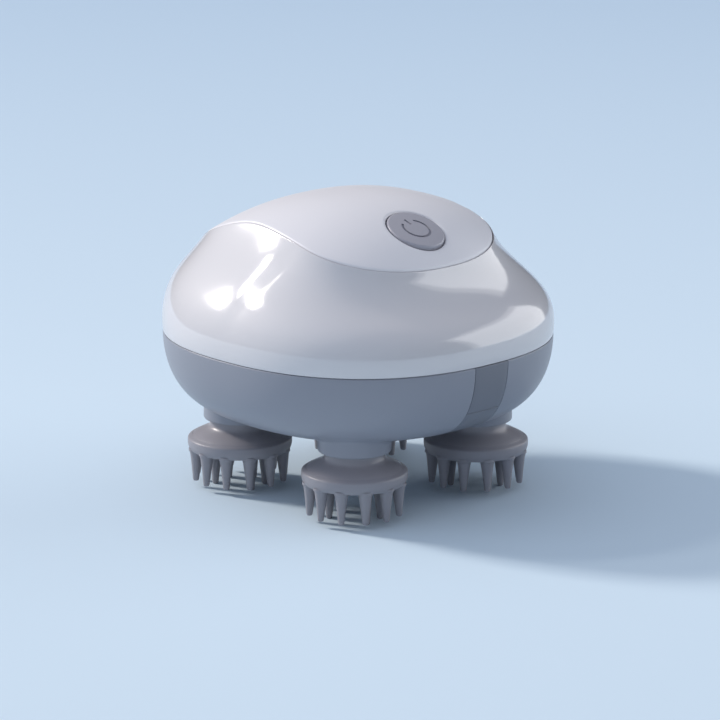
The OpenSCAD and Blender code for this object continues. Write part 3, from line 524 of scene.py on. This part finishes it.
wire(grain, (grain_in, "Grain Size", per_size, 1), (grain_place, "Object", fine, "Vector"),
     (per_size, 0, fine, "Scale"), (grain_place, "Object", broad, "Vector"),
     (grain_in, "Grain Depth", fine_bump, "Strength"), (fine, "Fac", fine_bump, "Height"),
     (grain_in, "Ripple Depth", broad_bump, "Strength"), (broad, "Fac", broad_bump, "Height"),
     (fine_bump, "Normal", broad_bump, "Normal"), (broad_bump, "Normal", grain_out, "Normal"),
     (broad, "Fac", centred, 0), (centred, 0, gloss, 0), (grain_in, "Gloss Spread", gloss, 1),
     (grain_in, "Gloss", gloss, 2), (gloss, 0, grain_out, "Roughness"),
     (broad, "Fac", grain_out, "Tone"))


def plastic(name, colour, gloss, grain_size=0.3, grain_depth=0.1, ripple=0.03, spread=0.08,
            shade=0.96, **sockets):
    """A moulded plastic or rubber; shade is how much darker its tone gets in places."""
    material, tree, shader = new_material(name)
    surface = add_node(tree, "ShaderNodeGroup", node_tree=grain, inputs={
        "Grain Size": grain_size, "Grain Depth": grain_depth, "Ripple Depth": ripple,
        "Gloss": gloss, "Gloss Spread": spread})
    darker = tuple(c * shade for c in colour[:3]) + (1,)
    tone = add_node(tree, "ShaderNodeMix", {"A": darker, "B": colour}, data_type="RGBA")
    wire(tree, (surface, "Tone", tone, "Factor"), (tone, "Result", shader, "Base Color"),
         (surface, "Roughness", shader, "Roughness"), (surface, "Normal", shader, "Normal"))
    for label, value in sockets.items():
        shader.inputs[label.replace("_", " ")].default_value = value
    return material


housing_plastic = plastic("housing plastic, blue grey", linear(150, 153, 163), 0.36)
finish_mesh(lower_housing, housing_plastic)
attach(lower_housing, "housing")
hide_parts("lower_housing")

# ---------- Upper shell ----------
# The gloss white upper half, injection moulded in ABS and polished. It swells over the seam,
# turns in over the shoulder and rises to the cover's edge in a cove, deepest at the nose.
crown_h = 39.5 * mm
crown_w, crown_l, crown_y = 143 * mm, 116 * mm, 3 * mm
crown_square, crown_round = 2.24, 0.826
cover_w, cover_mid_y = 66 * mm, -12 * mm
cover_nose, cover_tail = 24.3 * mm, 58 * mm
nose_square, tail_square = 2.2, 3.2
cover_waist, waist_y, waist_l = 0.08, 12 * mm, 14 * mm
cover_t = 2.2 * mm
groove = 0.35 * mm
ledge_w, ledge_t = 3 * mm, 1.6 * mm
shell_z = seam_z + 0.1 * mm
swell_back, swell_front = 1.15 * mm, 2.3 * mm
rise_back, rise_front = 13.5 * mm, 16.5 * mm
cove_back, cove_front = 48, 68
reach_back, reach_front = 9.9 * mm, 15.8 * mm
front_spread = 0.84
shell_columns = 288
shell_rows = 60
inner_rows = 16


def signed_power(value, power):
    """A power that keeps the sign of what it is taken of."""
    return math.copysign(abs(value) ** power, value)


def plan_point(t, inset=0.0):
    """A point of the body's plan by the angle that the shell's columns use."""
    return Vector(((body_w / 2 - inset) * signed_power(math.sin(t), 2 / body_square),
                   -(body_l / 2 - inset) * signed_power(math.cos(t), 2 / body_square), 0))


def crown_at(x, y):
    """Height of the dome that the cover lies on."""
    left = 1 - abs(2 * x / crown_w) ** crown_square - abs(2 * (y - crown_y) / crown_l) ** crown_square
    return seam_z + crown_h * max(left, 0) ** crown_round


def cover_point(t, out=0.0):
    """A point of the cover's outline: a round nose, a slight waist and a full tail."""
    nose = math.cos(t) > 0
    power = 2 / (nose_square if nose else tail_square)
    reach = (cover_nose if nose else cover_tail) + out
    y = cover_mid_y - reach * signed_power(math.cos(t), power)
    slim = 1 - cover_waist * math.exp(-((y - waist_y) / waist_l) ** 2)
    return Vector(((cover_w / 2 + out) * signed_power(math.sin(t), power) * slim, y, 0))


def on_crown(point, drop=0.0):
    """The point of the crown above a point of the plan, or of a sheet below the crown."""
    return Vector((point.x, point.y, crown_at(point.x, point.y) - drop))


def mix(a, b, share):
    """From a (0) to b (1)."""
    return a + (b - a) * share


def shell_point(t, s):
    """The shell's outside, from the seam (0) to the cover's edge (1)."""
    foot, edge = plan_point(t), cover_point(t, groove)
    front = ((1 + math.cos(t)) / 2) ** front_spread
    out, away = foot.normalized(), (foot - edge).normalized()
    steep = math.radians(mix(cove_back, cove_front, front))
    reach = mix(reach_back, reach_front, front)
    start = foot + Vector((0, 0, shell_z))
    bulge = start + out * mix(swell_back, swell_front, front)
    bulge.z += mix(rise_back, rise_front, front)
    end = on_crown(edge)
    cove = end + away * reach * math.cos(steep)
    cove.z -= reach * math.sin(steep)
    return (start * (1 - s) ** 3 + 3 * bulge * (1 - s) ** 2 * s
            + 3 * cove * (1 - s) * s * s + end * s ** 3)


def shell_inside(t, s):
    """The shell's inside, a wall away from its outside."""
    foot = plan_point(t, wall) - plan_point(t)
    top = on_crown(cover_point(t, -ledge_w), cover_t + ledge_t) - on_crown(cover_point(t, groove))
    return shell_point(t, s) + foot.lerp(top, s)


shell_turns = full_turn(shell_columns)
foot_round, lip_round = 0.35 * mm, 0.5 * mm
rise_way = 36 * mm
shell_rings = []
for a in (0, 22.5, 45, 67.5, 90):
    a = math.radians(a)
    lift = shell_z + foot_round * (1 - math.cos(a))
    shell_rings.append([plan_point(t, foot_round * (1 - math.sin(a))) + Vector((0, 0, lift))
                        for t in shell_turns])
first, last = 0.01, 1 - lip_round / rise_way
for row in range(1, shell_rows + 1):
    shell_rings.append([shell_point(t, mix(first, last, row / shell_rows)) for t in shell_turns])
for u in (0.25, 0.5, 0.75, 1):
    ring = []
    for t in shell_turns:
        start, bend = shell_point(t, last), shell_point(t, 1)
        end = bend - Vector((0, 0, lip_round))
        ring.append(start * (1 - u) ** 2 + 2 * bend * u * (1 - u) + end * u * u)
    shell_rings.append(ring)
for out in (groove, -ledge_w):
    shell_rings.append([on_crown(cover_point(t, out), cover_t) for t in shell_turns])
for row in range(inner_rows, -1, -1):
    shell_rings.append([shell_inside(t, row / inner_rows) for t in shell_turns])
upper_shell = solid("upper_shell_moulding", [loft(shell_rings, closed=True)])
post_r, post_top = 4.7 * mm, seam_z + 14 * mm
deck_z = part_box("upper_shell")[0].z
shell_posts = [turned([(post_r - post_ease, deck_z), (post_r, deck_z + post_ease), (post_r, post_top)],
                      centre, 40) for centre in closing_places]
cut_or_join(upper_shell, solid("closing posts", shell_posts), "UNION")
shell_gloss = plastic("shell plastic, gloss white", linear(221, 218, 219), 0.5, grain_size=0.6,
                      grain_depth=0.02, ripple=0.02, spread=0.05, shade=0.985,
                      Coat_Weight=1.0, Coat_Roughness=0.09, Coat_IOR=1.85, IOR=1.3)
finish_mesh(upper_shell, shell_gloss)
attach(upper_shell, "housing")
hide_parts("upper_shell")

# ---------- Top cover ----------
# A satin white panel in ABS that snaps onto the shell's ledge, with the button's round hole
# through it and a collar below that holds the button's flange.
button_tilt = math.radians(24)
button_y = -23.9 * mm
button_at = on_crown(Vector((0, button_y, 0)))
button_axis = Vector((0, -math.sin(button_tilt), math.cos(button_tilt)))
button_side, button_back = Vector((1, 0, 0)), Vector((0, math.cos(button_tilt), math.sin(button_tilt)))
hole_r, hole_ease = 8.85 * mm, 0.75 * mm
cover_round = 0.5 * mm
under = cover_t - 0.1 * mm
cover_columns, cover_rows, under_rows, hole_columns = 288, 44, 16, 112
flange_seat, collar_end = -1.8 * mm, -7.2 * mm
button_collar_r, flange_room = 10.75 * mm, 9.55 * mm
cover_middle = Vector((0, 4 * mm, 0))


def by_button(radius, turn, height):
    """A point in the button's own frame: radius and turn about its axis, and height along it."""
    return (button_at + radius * (math.cos(turn) * button_side + math.sin(turn) * button_back)
            + height * button_axis)


def off_axis(point):
    """How far a point is from the button's axis."""
    way = point - button_at
    return (way - way.dot(button_axis) * button_axis).length


def ring_on_crown(radius, drop=0.0):
    """The ring where a tube round the button's axis meets the crown, or a sheet below it."""
    ring, search, halvings = [], 12 * mm, 40
    for turn in full_turn(hole_columns):
        low, high = -search, search
        for _ in range(halvings):
            middle = (low + high) / 2
            point = by_button(radius, turn, middle)
            if point.z < crown_at(point.x, point.y) - drop:
                low = middle
            else:
                high = middle
        ring.append(by_button(radius, turn, low))
    return ring


def cover_sheet(inset, hole, drop, columns, rows, extras):
    """A sheet of the crown between the cover's outline and rings round the button's hole."""
    turns = full_turn(columns)
    points = [cover_point(t, -inset) for t in turns]
    edges = [(j, (j + 1) % columns) for j in range(columns)]
    guard = hole + extras[-1] + 0.8 * mm
    for row in range(1, rows):
        for t in turns[::(2 if row < rows / 3 else 1)]:
            point = cover_middle.lerp(cover_point(t, -inset), row / rows)
            if off_axis(on_crown(point, drop)) > guard:
                points.append(point)
    for extra in extras:
        ring, first = ring_on_crown(hole + extra, drop), len(points)
        points += ring
        if extra == 0:
            edges += [(first + j, first + (j + 1) % hole_columns) for j in range(hole_columns)]
    found = delaunay_2d_cdt([Vector((p.x, p.y)) for p in points], edges, [], 0, 1e-9)
    sheet = [on_crown(points[origin[0]], drop) for origin in found[3]]
    faces = []
    for face in found[2]:
        middle = sum((sheet[i] for i in face), Vector()) / 3
        if off_axis(middle) > hole * (1 - slack) and inside_cover(middle, inset):
            faces.append(tuple(face))
    return [tuple(p) for p in sheet], faces


def inside_cover(point, inset):
    """True where a point of the plan is inside the cover's outline."""
    way = point.y - cover_mid_y
    nose = way < 0
    power = nose_square if nose else tail_square
    reach = (cover_nose if nose else cover_tail) - inset
    slim = 1 - cover_waist * math.exp(-((point.y - waist_y) / waist_l) ** 2)
    return (abs(point.x / slim / (cover_w / 2 - inset)) ** power + abs(way / reach) ** power) < 1 + slack


cover_turns = full_turn(cover_columns)
edge_rings = []
for a in (0, 18, 36, 54, 72, 90):
    a = math.radians(a)
    edge_rings.append([on_crown(cover_point(t, -cover_round * (1 - math.sin(a))),
                                cover_round * (1 - math.cos(a))) for t in cover_turns])
for out in (0, -ledge_w):
    edge_rings.append([on_crown(cover_point(t, out), under) for t in cover_turns])
hole_rings = [ring_on_crown(hole_r + hole_ease)]
for a in (30, 60, 90):
    a = math.radians(a)
    ring = ring_on_crown(hole_r + hole_ease * (1 - math.sin(a)))
    hole_rings.append([p - button_axis * hole_ease * (1 - math.cos(a)) for p in ring])
for r, h in ((hole_r, flange_seat), (flange_room, flange_seat), (flange_room, collar_end),
             (button_collar_r, collar_end)):
    hole_rings.append([by_button(r, t, h) for t in full_turn(hole_columns)])
hole_rings.append(ring_on_crown(button_collar_r, under))
top_cover = solid("top_cover_panel", [
    cover_sheet(cover_round, hole_r + hole_ease, 0, cover_columns, cover_rows,
                (0, 0.4 * mm, 1.0 * mm, 1.8 * mm)),
    loft(edge_rings), loft(hole_rings),
    cover_sheet(ledge_w, button_collar_r, under, cover_columns, under_rows, (0, 1 * mm))])


def along_button(profile, offset, columns):
    """A turned outline whose axis is parallel to the button's, set beside it."""
    rings = [[button_at + (offset[0] + r * math.cos(a)) * button_side
              + (offset[1] + r * math.sin(a)) * button_back + h * button_axis
              for a in full_turn(columns)] for r, h in profile]
    return loft(rings, fan_start=True, fan_end=True)


post_r, post_x, post_end, post_top = 2.6 * mm, 14 * mm, -8.2 * mm, -2.6 * mm
board_post = [(post_r - post_ease, post_end), (post_r, post_end + post_ease), (post_r, post_top)]
board_posts = [along_button(board_post, (side * post_x, 0), 32) for side in (-1, 1)]
cut_or_join(top_cover, solid("board posts", board_posts), "UNION")
cover_satin = plastic("cover plastic, satin white", linear(240, 238, 240), 0.36, grain_size=0.25,
                      grain_depth=0.12, ripple=0.02, spread=0.06, shade=0.98)
finish_mesh(top_cover, cover_satin)
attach(top_cover, "housing")
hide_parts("top_cover")

# ---------- Power button ----------
# A round satin grey key in ABS that slides in the cover's collar. Its power mark is sunk into the face by
# the mould, and its sunk faces are painted a darker grey as painted shade for the groove.
face_r, face_round, face_dome = 8.5 * mm, 0.6 * mm, 0.3 * mm
face_top = 0.2 * mm
flange_r, flange_top, flange_under, flange_ease = 9.4 * mm, -1.95 * mm, -2.95 * mm, 0.15 * mm
stem_r, stem_end, hollow_r, hollow_top = 2 * mm, -4.05 * mm, flange_r - 2 * mm, -2.6 * mm
button_profile = [(stem_r, stem_end), (stem_r, hollow_top), (hollow_r, hollow_top),
                  (hollow_r, flange_under), (flange_r - flange_ease, flange_under),
                  (flange_r, flange_under + flange_ease), (flange_r, flange_top), (face_r, flange_top)]
for a in range(0, 91, 10):
    a = math.radians(a)
    button_profile.append((face_r - face_round * (1 - math.cos(a)),
                           face_top - face_dome - face_round * (1 - math.sin(a))))
for share in (0.85, 0.75, 0.6, 0.45, 0.3, 0.15):
    button_profile.append((face_r * share, face_top - face_dome * (share / 0.93) ** 2))
power_button = solid("power_button_key", [along_button(button_profile, (0, 0), 128)])
mark_r, mark_w, mark_depth, mark_gap = 4.0 * mm, 0.75 * mm, 0.3 * mm, math.radians(34)
mark_turn = math.radians(97)
mark_heights = (face_top - face_dome / 2 - mark_depth, face_top + 0.4 * mm)
bar_in, bar_out = 2.1 * mm, 4.7 * mm


def mark_loop(turns, inner, outer):
    """A closed bar that follows an arc about the button's axis."""
    loop = [(inner, t) for t in turns] + [(outer, t) for t in reversed(turns)]
    rings = [[by_button(r, t, h) for r, t in loop] for h in mark_heights]
    points, faces = loft(rings)
    count = len(turns)
    for base in (0, 2 * count):
        for j in range(count - 1):
            faces.append((base + j, base + j + 1, base + 2 * count - 2 - j, base + 2 * count - 1 - j))
    return points, faces


arc_turns = list(np.linspace(mark_turn + mark_gap, mark_turn + math.tau - mark_gap, 56))
half_bar = mark_w / 2
bar_loop = [(-half_bar, bar_in), (half_bar, bar_in), (half_bar, bar_out), (-half_bar, bar_out)]
bar_points = []
for h in mark_heights:
    for x, y in bar_loop:
        r, t = math.hypot(x, y), math.atan2(y, x) + mark_turn - math.pi / 2
        bar_points.append(by_button(r, t, h))
bar_faces = [(0, 1, 5, 4), (1, 2, 6, 5), (2, 3, 7, 6), (3, 0, 4, 7), (3, 2, 1, 0), (4, 5, 6, 7)]
mark = solid("power mark", [mark_loop(arc_turns, mark_r - half_bar, mark_r + half_bar),
                            (bar_points, bar_faces)])
cut_or_join(power_button, mark, "DIFFERENCE")
button_satin = plastic("button plastic, satin grey", linear(178, 176, 183), 0.36, grain_size=0.2,
                       grain_depth=0.12)
# Painted shade for the mark's groove: a grey a little darker than the key's
mark_painted_shade = plastic("power mark ink", linear(160, 159, 167), 0.5, grain_size=0.2)
finish_mesh(power_button, button_satin)
power_button.data.materials.append(mark_painted_shade)
# Painted shade: the sunk faces of the mark, which are lower than the key's face round it, take a darker
# grey that stands in for the shade in the groove
painted_shade_r, painted_shade_low, painted_shade_high = 5 * mm, -1 * mm, 0.04 * mm
for face in power_button.data.polygons:
    height = (face.center - button_at).dot(button_axis)
    if off_axis(face.center) < painted_shade_r and painted_shade_low < height < painted_shade_high:
        face.material_index = 1
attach(power_button, "button")
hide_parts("power_button")

# ---------- Front band and port flap ----------
# A darker strip set into the housing's channel. Its upper part is a soft silicone flap over
# the charging port, with a plug on its back; the rest is a fixed trim in satin ABS.
strip_out, strip_in, strip_round = 0.04 * mm, 1.2 * mm, 0.14 * mm


def strip_section(half, drop, depth_in):
    """The strip's section as (x, depth) pairs; drop sinks its outside, as at a rounded end."""
    outer = strip_out + drop
    arc = [(strip_round * (1 - math.cos(a)), strip_round * (1 - math.sin(a)))
           for a in (math.radians(d) for d in (0, 22.5, 45, 67.5, 90))]
    left = [(-half + x, outer + d) for x, d in arc]
    right = [(half - x, outer + d) for x, d in reversed(arc)]
    across = [(x, outer) for x in np.linspace(-half + strip_round, half - strip_round, 9)[1:-1]]
    inner = [(x, depth_in) for x in np.linspace(half, -half, 9)]
    return left + across + right + inner


def strip_piece(top_run, end_run, half, depth_in):
    """A strip with rounded edges and ends that lies in the channel."""
    runs, drops = [], []
    for d in (0, 30, 60, 90):
        a = math.radians(d)
        runs.append(top_run + strip_round * (1 - math.cos(a)))
        drops.append(strip_round * (1 - math.sin(a)))
    for run in np.linspace(top_run + strip_round, end_run - strip_round, 36)[1:-1]:
        runs.append(run)
        drops.append(0)
    for d in (90, 60, 30, 0):
        a = math.radians(d)
        runs.append(end_run - strip_round * (1 - math.cos(a)))
        drops.append(strip_round * (1 - math.sin(a)))
    return strip([strip_section(half, drop, depth_in) for drop in drops], runs)


def run_at(z):
    """The way down from the seam to a height on the front."""
    return belly_run - float(np.interp(z, meridian_z, meridian_run))


flap_lo, flap_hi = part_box("port_flap")
flap_top_run, split_run = run_at(seam_z - 0.02 * mm), run_at(flap_lo.z + 0.05 * mm)
split_gap = 0.16 * mm
plug_w, plug_h, plug_y = port_w - 1.2 * mm, port_h - 1.4 * mm, -body_l / 2 + 1.1 * mm
port_flap = solid("port_flap_moulding", [strip_piece(flap_top_run, split_run, band_half, strip_in)])
plug = solid("plug", [stadium(plug_w, plug_h, plug_y, flap_hi.y, port_z)])
cut_or_join(port_flap, plug, "UNION")
front_band = solid("front_band_trim", [
    strip_piece(split_run + split_gap, strip_end_run, band_half, strip_in)])
band_satin = plastic("band plastic, dark blue grey", linear(124, 127, 136), 0.4)
flap_silicone = plastic("flap silicone, dark blue grey", linear(124, 127, 136), 0.44, grain_size=0.2)
for piece, material, body, node, slot in (
        (front_band, band_satin, "housing", "front_band", "band_satin"),
        (port_flap, flap_silicone, "flap", "port_flap", "flap_silicone")):
    finish_mesh(piece, material)
    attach(piece, body)
    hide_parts(node)

# ---------- Massage heads ----------
# Each head is a hard mushroom-shaped cap, screwed to its spindle from below, with a silicone
# pad stretched over it: a rim, a disc, a ring of outer fingers and a ring of longer inner ones.
pad_lo, pad_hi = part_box("front_left_pad")
cap_lo, cap_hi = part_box("front_left_cap")
pad_r, slope_z = (pad_hi.x - pad_lo.x) / 2, pad_hi.z
disc_r, cap_under, neck_z = (cap_hi.x - cap_lo.x) / 2, cap_lo.z, cap_hi.z
neck_r = 8.5 * mm
disc_z = 10.9 * mm
outer_ring_r, inner_ring_r = 12.75 * mm, 6.9 * mm
head_columns = 120
spindle_r, screw_r, driver_r = 3 * mm, 1.1 * mm, 2.1 * mm
spindle_seat, screw_seat = cap_under + 2.5 * mm, cap_under + 1.5 * mm


def smooth_curve(knots, steps=4):
    """A rounded line through (radius, height) knots, so that a turned shape has no corners."""
    line = []
    for i in range(len(knots) - 1):
        before, after = knots[max(i - 1, 0)], knots[min(i + 2, len(knots) - 1)]
        a, b = knots[i], knots[i + 1]
        for k in range(steps):
            u = k / steps
            line.append(tuple(
                0.5 * (2 * a[c] + (b[c] - before[c]) * u
                       + (2 * before[c] - 5 * a[c] + 4 * b[c] - after[c]) * u * u
                       + (3 * a[c] - before[c] - 3 * b[c] + after[c]) * u ** 3) for c in (0, 1)))
    return line + [knots[-1]]


cap_side = smooth_curve([(mix(disc_r, neck_r, share), slope_z + rise * mm) for share, rise in (
    (0.01, 0.01), (0.2, 0.56), (0.45, 1.16), (0.7, 1.78), (0.86, 2.34), (0.95, 2.95), (0.99, 3.7),
    (1, 4.3))])
cap_outline = ([(disc_r - 0.2 * mm, cap_under), (disc_r, cap_under + 0.2 * mm),
                (disc_r, slope_z - 0.04 * mm)] + cap_side
               + [(neck_r, neck_z - 0.2 * mm), (neck_r - 0.06 * mm, neck_z - 0.06 * mm),
                  (neck_r - 0.2 * mm, neck_z), (spindle_r, neck_z), (spindle_r, spindle_seat),
                  (screw_r, spindle_seat), (screw_r, screw_seat), (driver_r, screw_seat),
                  (driver_r, cap_under)])
rim_side = smooth_curve([(pad_r - inset * mm, disc_z + rise * mm) for inset, rise in (
    (0.9, 0), (0.62, 0.1), (0.4, 0.45), (0.16, 1.1), (0.02, 1.9), (0.01, 2.8), (0.06, 3.25),
    (0.24, 3.55), (0.6, 3.8), (1.1, 4.08))])
pad_outline = ([(4 * mm, disc_z), (9 * mm, disc_z)] + rim_side
               + [(disc_r + 0.07 * mm, slope_z - 0.02 * mm), (disc_r + 0.03 * mm, slope_z - 0.08 * mm),
                  (disc_r + 0.03 * mm, cap_under - 0.05 * mm)])


finger_side = smooth_curve([(0.45, 0), (0.7, 0.1), (0.84, 0.36), (0.92, 0.8), (1.01, 1.6), (1.25, 3.6),
                            (1.5, 5.6), (1.76, 7.4), (1.93, 8.3), (2.1, 8.85), (2.34, 9.15)])


def finger(name, length):
    """One tapered finger, its tip down and leaning a little outwards, with a flared root.
    Only the taper above the rounded tip, the last millimetre, stretches with the length."""
    stretch, tip_lean = (length - 1 * mm) / (8.1 * mm), 0.3 * mm
    profile = [(r * mm, z * mm if z < 1 else (1 + (z - 1) * stretch) * mm) for r, z in finger_side]
    profile = [(r, disc_z - length + z) for r, z in profile]
    profile.append((2.3 * mm, disc_z + 0.7 * mm))
    piece = solid(name, [turned(profile, columns=28)])
    for vertex in piece.data.vertices:
        vertex.co.x += tip_lean * (disc_z - vertex.co.z) / length
    return piece


# Geometry Nodes: a ring of fingers, standing on a circle, each turned to face outwards, and
# joined to the disc above
ring_tree = bpy.data.node_groups.new("ring of fingers", "GeometryNodeTree")
sockets = {}
for label, kind in (("Geometry", "NodeSocketGeometry"), ("Finger", "NodeSocketObject"),
                    ("Fingers", "NodeSocketInt"), ("Ring Radius", "NodeSocketFloat"),
                    ("Start Angle", "NodeSocketFloat"), ("Material", "NodeSocketMaterial")):
    sockets[label] = ring_tree.interface.new_socket(label, in_out="INPUT", socket_type=kind).identifier
ring_tree.interface.new_socket("Geometry", in_out="OUTPUT", socket_type="NodeSocketGeometry")
ring_in = add_node(ring_tree, "NodeGroupInput")
circle = add_node(ring_tree, "GeometryNodeMeshCircle")
angle = add_node(ring_tree, "ShaderNodeCombineXYZ")
turn = add_node(ring_tree, "GeometryNodeTransform")
pick = add_node(ring_tree, "GeometryNodeObjectInfo")
where = add_node(ring_tree, "GeometryNodeInputPosition")
face_out = add_node(ring_tree, "FunctionNodeAlignRotationToVector", axis="X", pivot_axis="Z")
place = add_node(ring_tree, "GeometryNodeInstanceOnPoints")
weld_up = add_node(ring_tree, "GeometryNodeMeshBoolean", operation="UNION", solver="EXACT")
stand = add_node(ring_tree, "GeometryNodeRealizeInstances")
paint = add_node(ring_tree, "GeometryNodeSetMaterial")
ring_out = add_node(ring_tree, "NodeGroupOutput")
wire(ring_tree, (ring_in, "Fingers", circle, "Vertices"), (ring_in, "Ring Radius", circle, "Radius"),
     (ring_in, "Start Angle", angle, "Z"), (circle, "Mesh", turn, "Geometry"),
     (angle, "Vector", turn, "Rotation"), (ring_in, "Finger", pick, "Object"),
     (turn, "Geometry", place, "Points"), (pick, "Geometry", place, "Instance"),
     (where, "Position", face_out, "Vector"), (face_out, "Rotation", place, "Rotation"),
     (place, "Instances", weld_up, "Mesh 2"), (ring_in, "Geometry", weld_up, "Mesh 2"),
     (weld_up, "Mesh", stand, "Geometry"), (stand, "Geometry", paint, "Geometry"),
     (ring_in, "Material", paint, "Material"), (paint, "Geometry", ring_out, "Geometry"))

head_plastic = plastic("head plastic, warm grey", linear(158, 155, 160), 0.34, grain_size=0.25)
head_silicone = plastic("head silicone, warm grey", linear(152, 150, 156), 0.42, grain_size=0.2,
                        grain_depth=0.15)
model_pad = solid("model pad", [turned(pad_outline, columns=head_columns)])
outer_finger = finger("outer finger", disc_z - 1.8 * mm)
inner_finger = finger("inner finger", disc_z)
for one, count, radius, start in ((outer_finger, 12, outer_ring_r, 0),
                                  (inner_finger, 6, inner_ring_r, 15)):
    ring = model_pad.modifiers.new("ring", "NODES")
    ring.node_group = ring_tree
    ring[sockets["Finger"]] = one
    ring[sockets["Fingers"]] = count
    ring[sockets["Ring Radius"]] = radius
    ring[sockets["Start Angle"]] = math.radians(start)
    ring[sockets["Material"]] = head_silicone
finished_pad = model_pad.evaluated_get(bpy.context.evaluated_depsgraph_get())
pad_mesh = bpy.data.meshes.new_from_object(finished_pad)
model_pad.modifiers.clear()
for spent in (model_pad, outer_finger, inner_finger):
    bpy.data.objects.remove(spent)
for corner, centre in head_places.items():
    mesh = pad_mesh.copy()
    mesh.transform(Matrix.Translation((*centre, 0)))
    pad = add_object(corner + "_finger_pad", mesh)
    cap = solid(corner + "_mushroom_cap", [turned(cap_outline, centre, head_columns, hollow=True)])
    for piece, material, node, slot in ((pad, head_silicone, "_pad", "head_silicone"),
                                        (cap, head_plastic, "_cap", "head_plastic")):
        finish_mesh(piece, material, sharp=40)
        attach(piece, corner + "_head")
        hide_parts(corner + node)

# ---------- Inside parts ----------
# Gears, motor, cell, boards, seals and fasteners, kept as the CAD model has them. Each node
# takes the finish of its stock: moulded acetal and nylon, drawn steel, sintered bronze, rubber.
drawn, drawn_in, drawn_out = new_group(
    "drawn metal", [("Roughness", 0.3), ("Spread", 0.1), ("Line Depth", 0.1)],
    [("Roughness", "NodeSocketFloat"), ("Normal", "NodeSocketVector")])
drawn_place = add_node(drawn, "ShaderNodeTexCoord")
stretch = add_node(drawn, "ShaderNodeMapping", {"Scale": (900, 900, 6000)})
lines = add_node(drawn, "ShaderNodeTexNoise", {"Scale": 1, "Detail": 3})
shine = add_node(drawn, "ShaderNodeMath", operation="MULTIPLY_ADD")
line_bump = add_node(drawn, "ShaderNodeBump", {"Distance": 0.02 * mm})
wire(drawn, (drawn_place, "Object", stretch, "Vector"), (stretch, "Vector", lines, "Vector"),
     (lines, "Fac", shine, 0), (drawn_in, "Spread", shine, 1), (drawn_in, "Roughness", shine, 2),
     (shine, 0, drawn_out, "Roughness"), (drawn_in, "Line Depth", line_bump, "Strength"),
     (lines, "Fac", line_bump, "Height"), (line_bump, "Normal", drawn_out, "Normal"))


def metal(name, colour, roughness, spread, line_depth):
    """A bare metal with the fine lines of drawing or turning."""
    material, tree, shader = new_material(name)
    surface = add_node(tree, "ShaderNodeGroup", node_tree=drawn, inputs={
        "Roughness": roughness, "Spread": spread, "Line Depth": line_depth})
    shader.inputs["Base Color"].default_value = colour
    shader.inputs["Metallic"].default_value = 1
    wire(tree, (surface, "Roughness", shader, "Roughness"), (surface, "Normal", shader, "Normal"))
    return material


def solder_mask(name, mask, copper_under):
    """A circuit board: its tracks show through the mask as a paler net of lines."""
    material, tree, shader = new_material(name)
    board_place = add_node(tree, "ShaderNodeTexCoord")
    tracks = add_node(tree, "ShaderNodeTexVoronoi", {"Scale": 320}, feature="DISTANCE_TO_EDGE")
    edge = add_node(tree, "ShaderNodeMapRange", {"From Min": 0.04, "From Max": 0.08})
    tone = add_node(tree, "ShaderNodeMix", {"A": copper_under, "B": mask}, data_type="RGBA")
    wire(tree, (board_place, "Object", tracks, "Vector"), (tracks, "Distance", edge, "Value"),
         (edge, "Result", tone, "Factor"), (tone, "Result", shader, "Base Color"))
    shader.inputs["Roughness"].default_value = 0.32
    return material


inner_finish = {
    "gear_acetal": plastic("gear acetal, natural", linear(236, 233, 222), 0.38, spread=0.1),
    "frame_plastic": plastic("frame nylon, black", linear(48, 50, 54), 0.55, grain_depth=0.3),
    "switch_plastic": plastic("switch plastic, black", linear(40, 41, 44), 0.4),
    "seal_rubber": plastic("nitrile rubber, black", linear(38, 38, 41), 0.65, grain_depth=0.25),
    "cell_wrap": plastic("cell wrap, blue", linear(58, 96, 156), 0.25, ripple=0.1),
    "steel": metal("steel, plated", linear(196, 198, 202), 0.26, 0.14, 0.3),
    "bronze": metal("bronze, sintered", linear(190, 142, 88), 0.42, 0.2, 0.1),
    "board": solder_mask("solder mask, green", linear(24, 96, 58), linear(52, 128, 80)),
}
finish_of = {part["node"]: part["material_slot"] for part in frame["record"]["subparts"]}
for name, node in frame["nodes"].items():
    if finish_of[name] in inner_finish:
        node.data.materials.clear()
        node.data.materials.append(inner_finish[finish_of[name]])
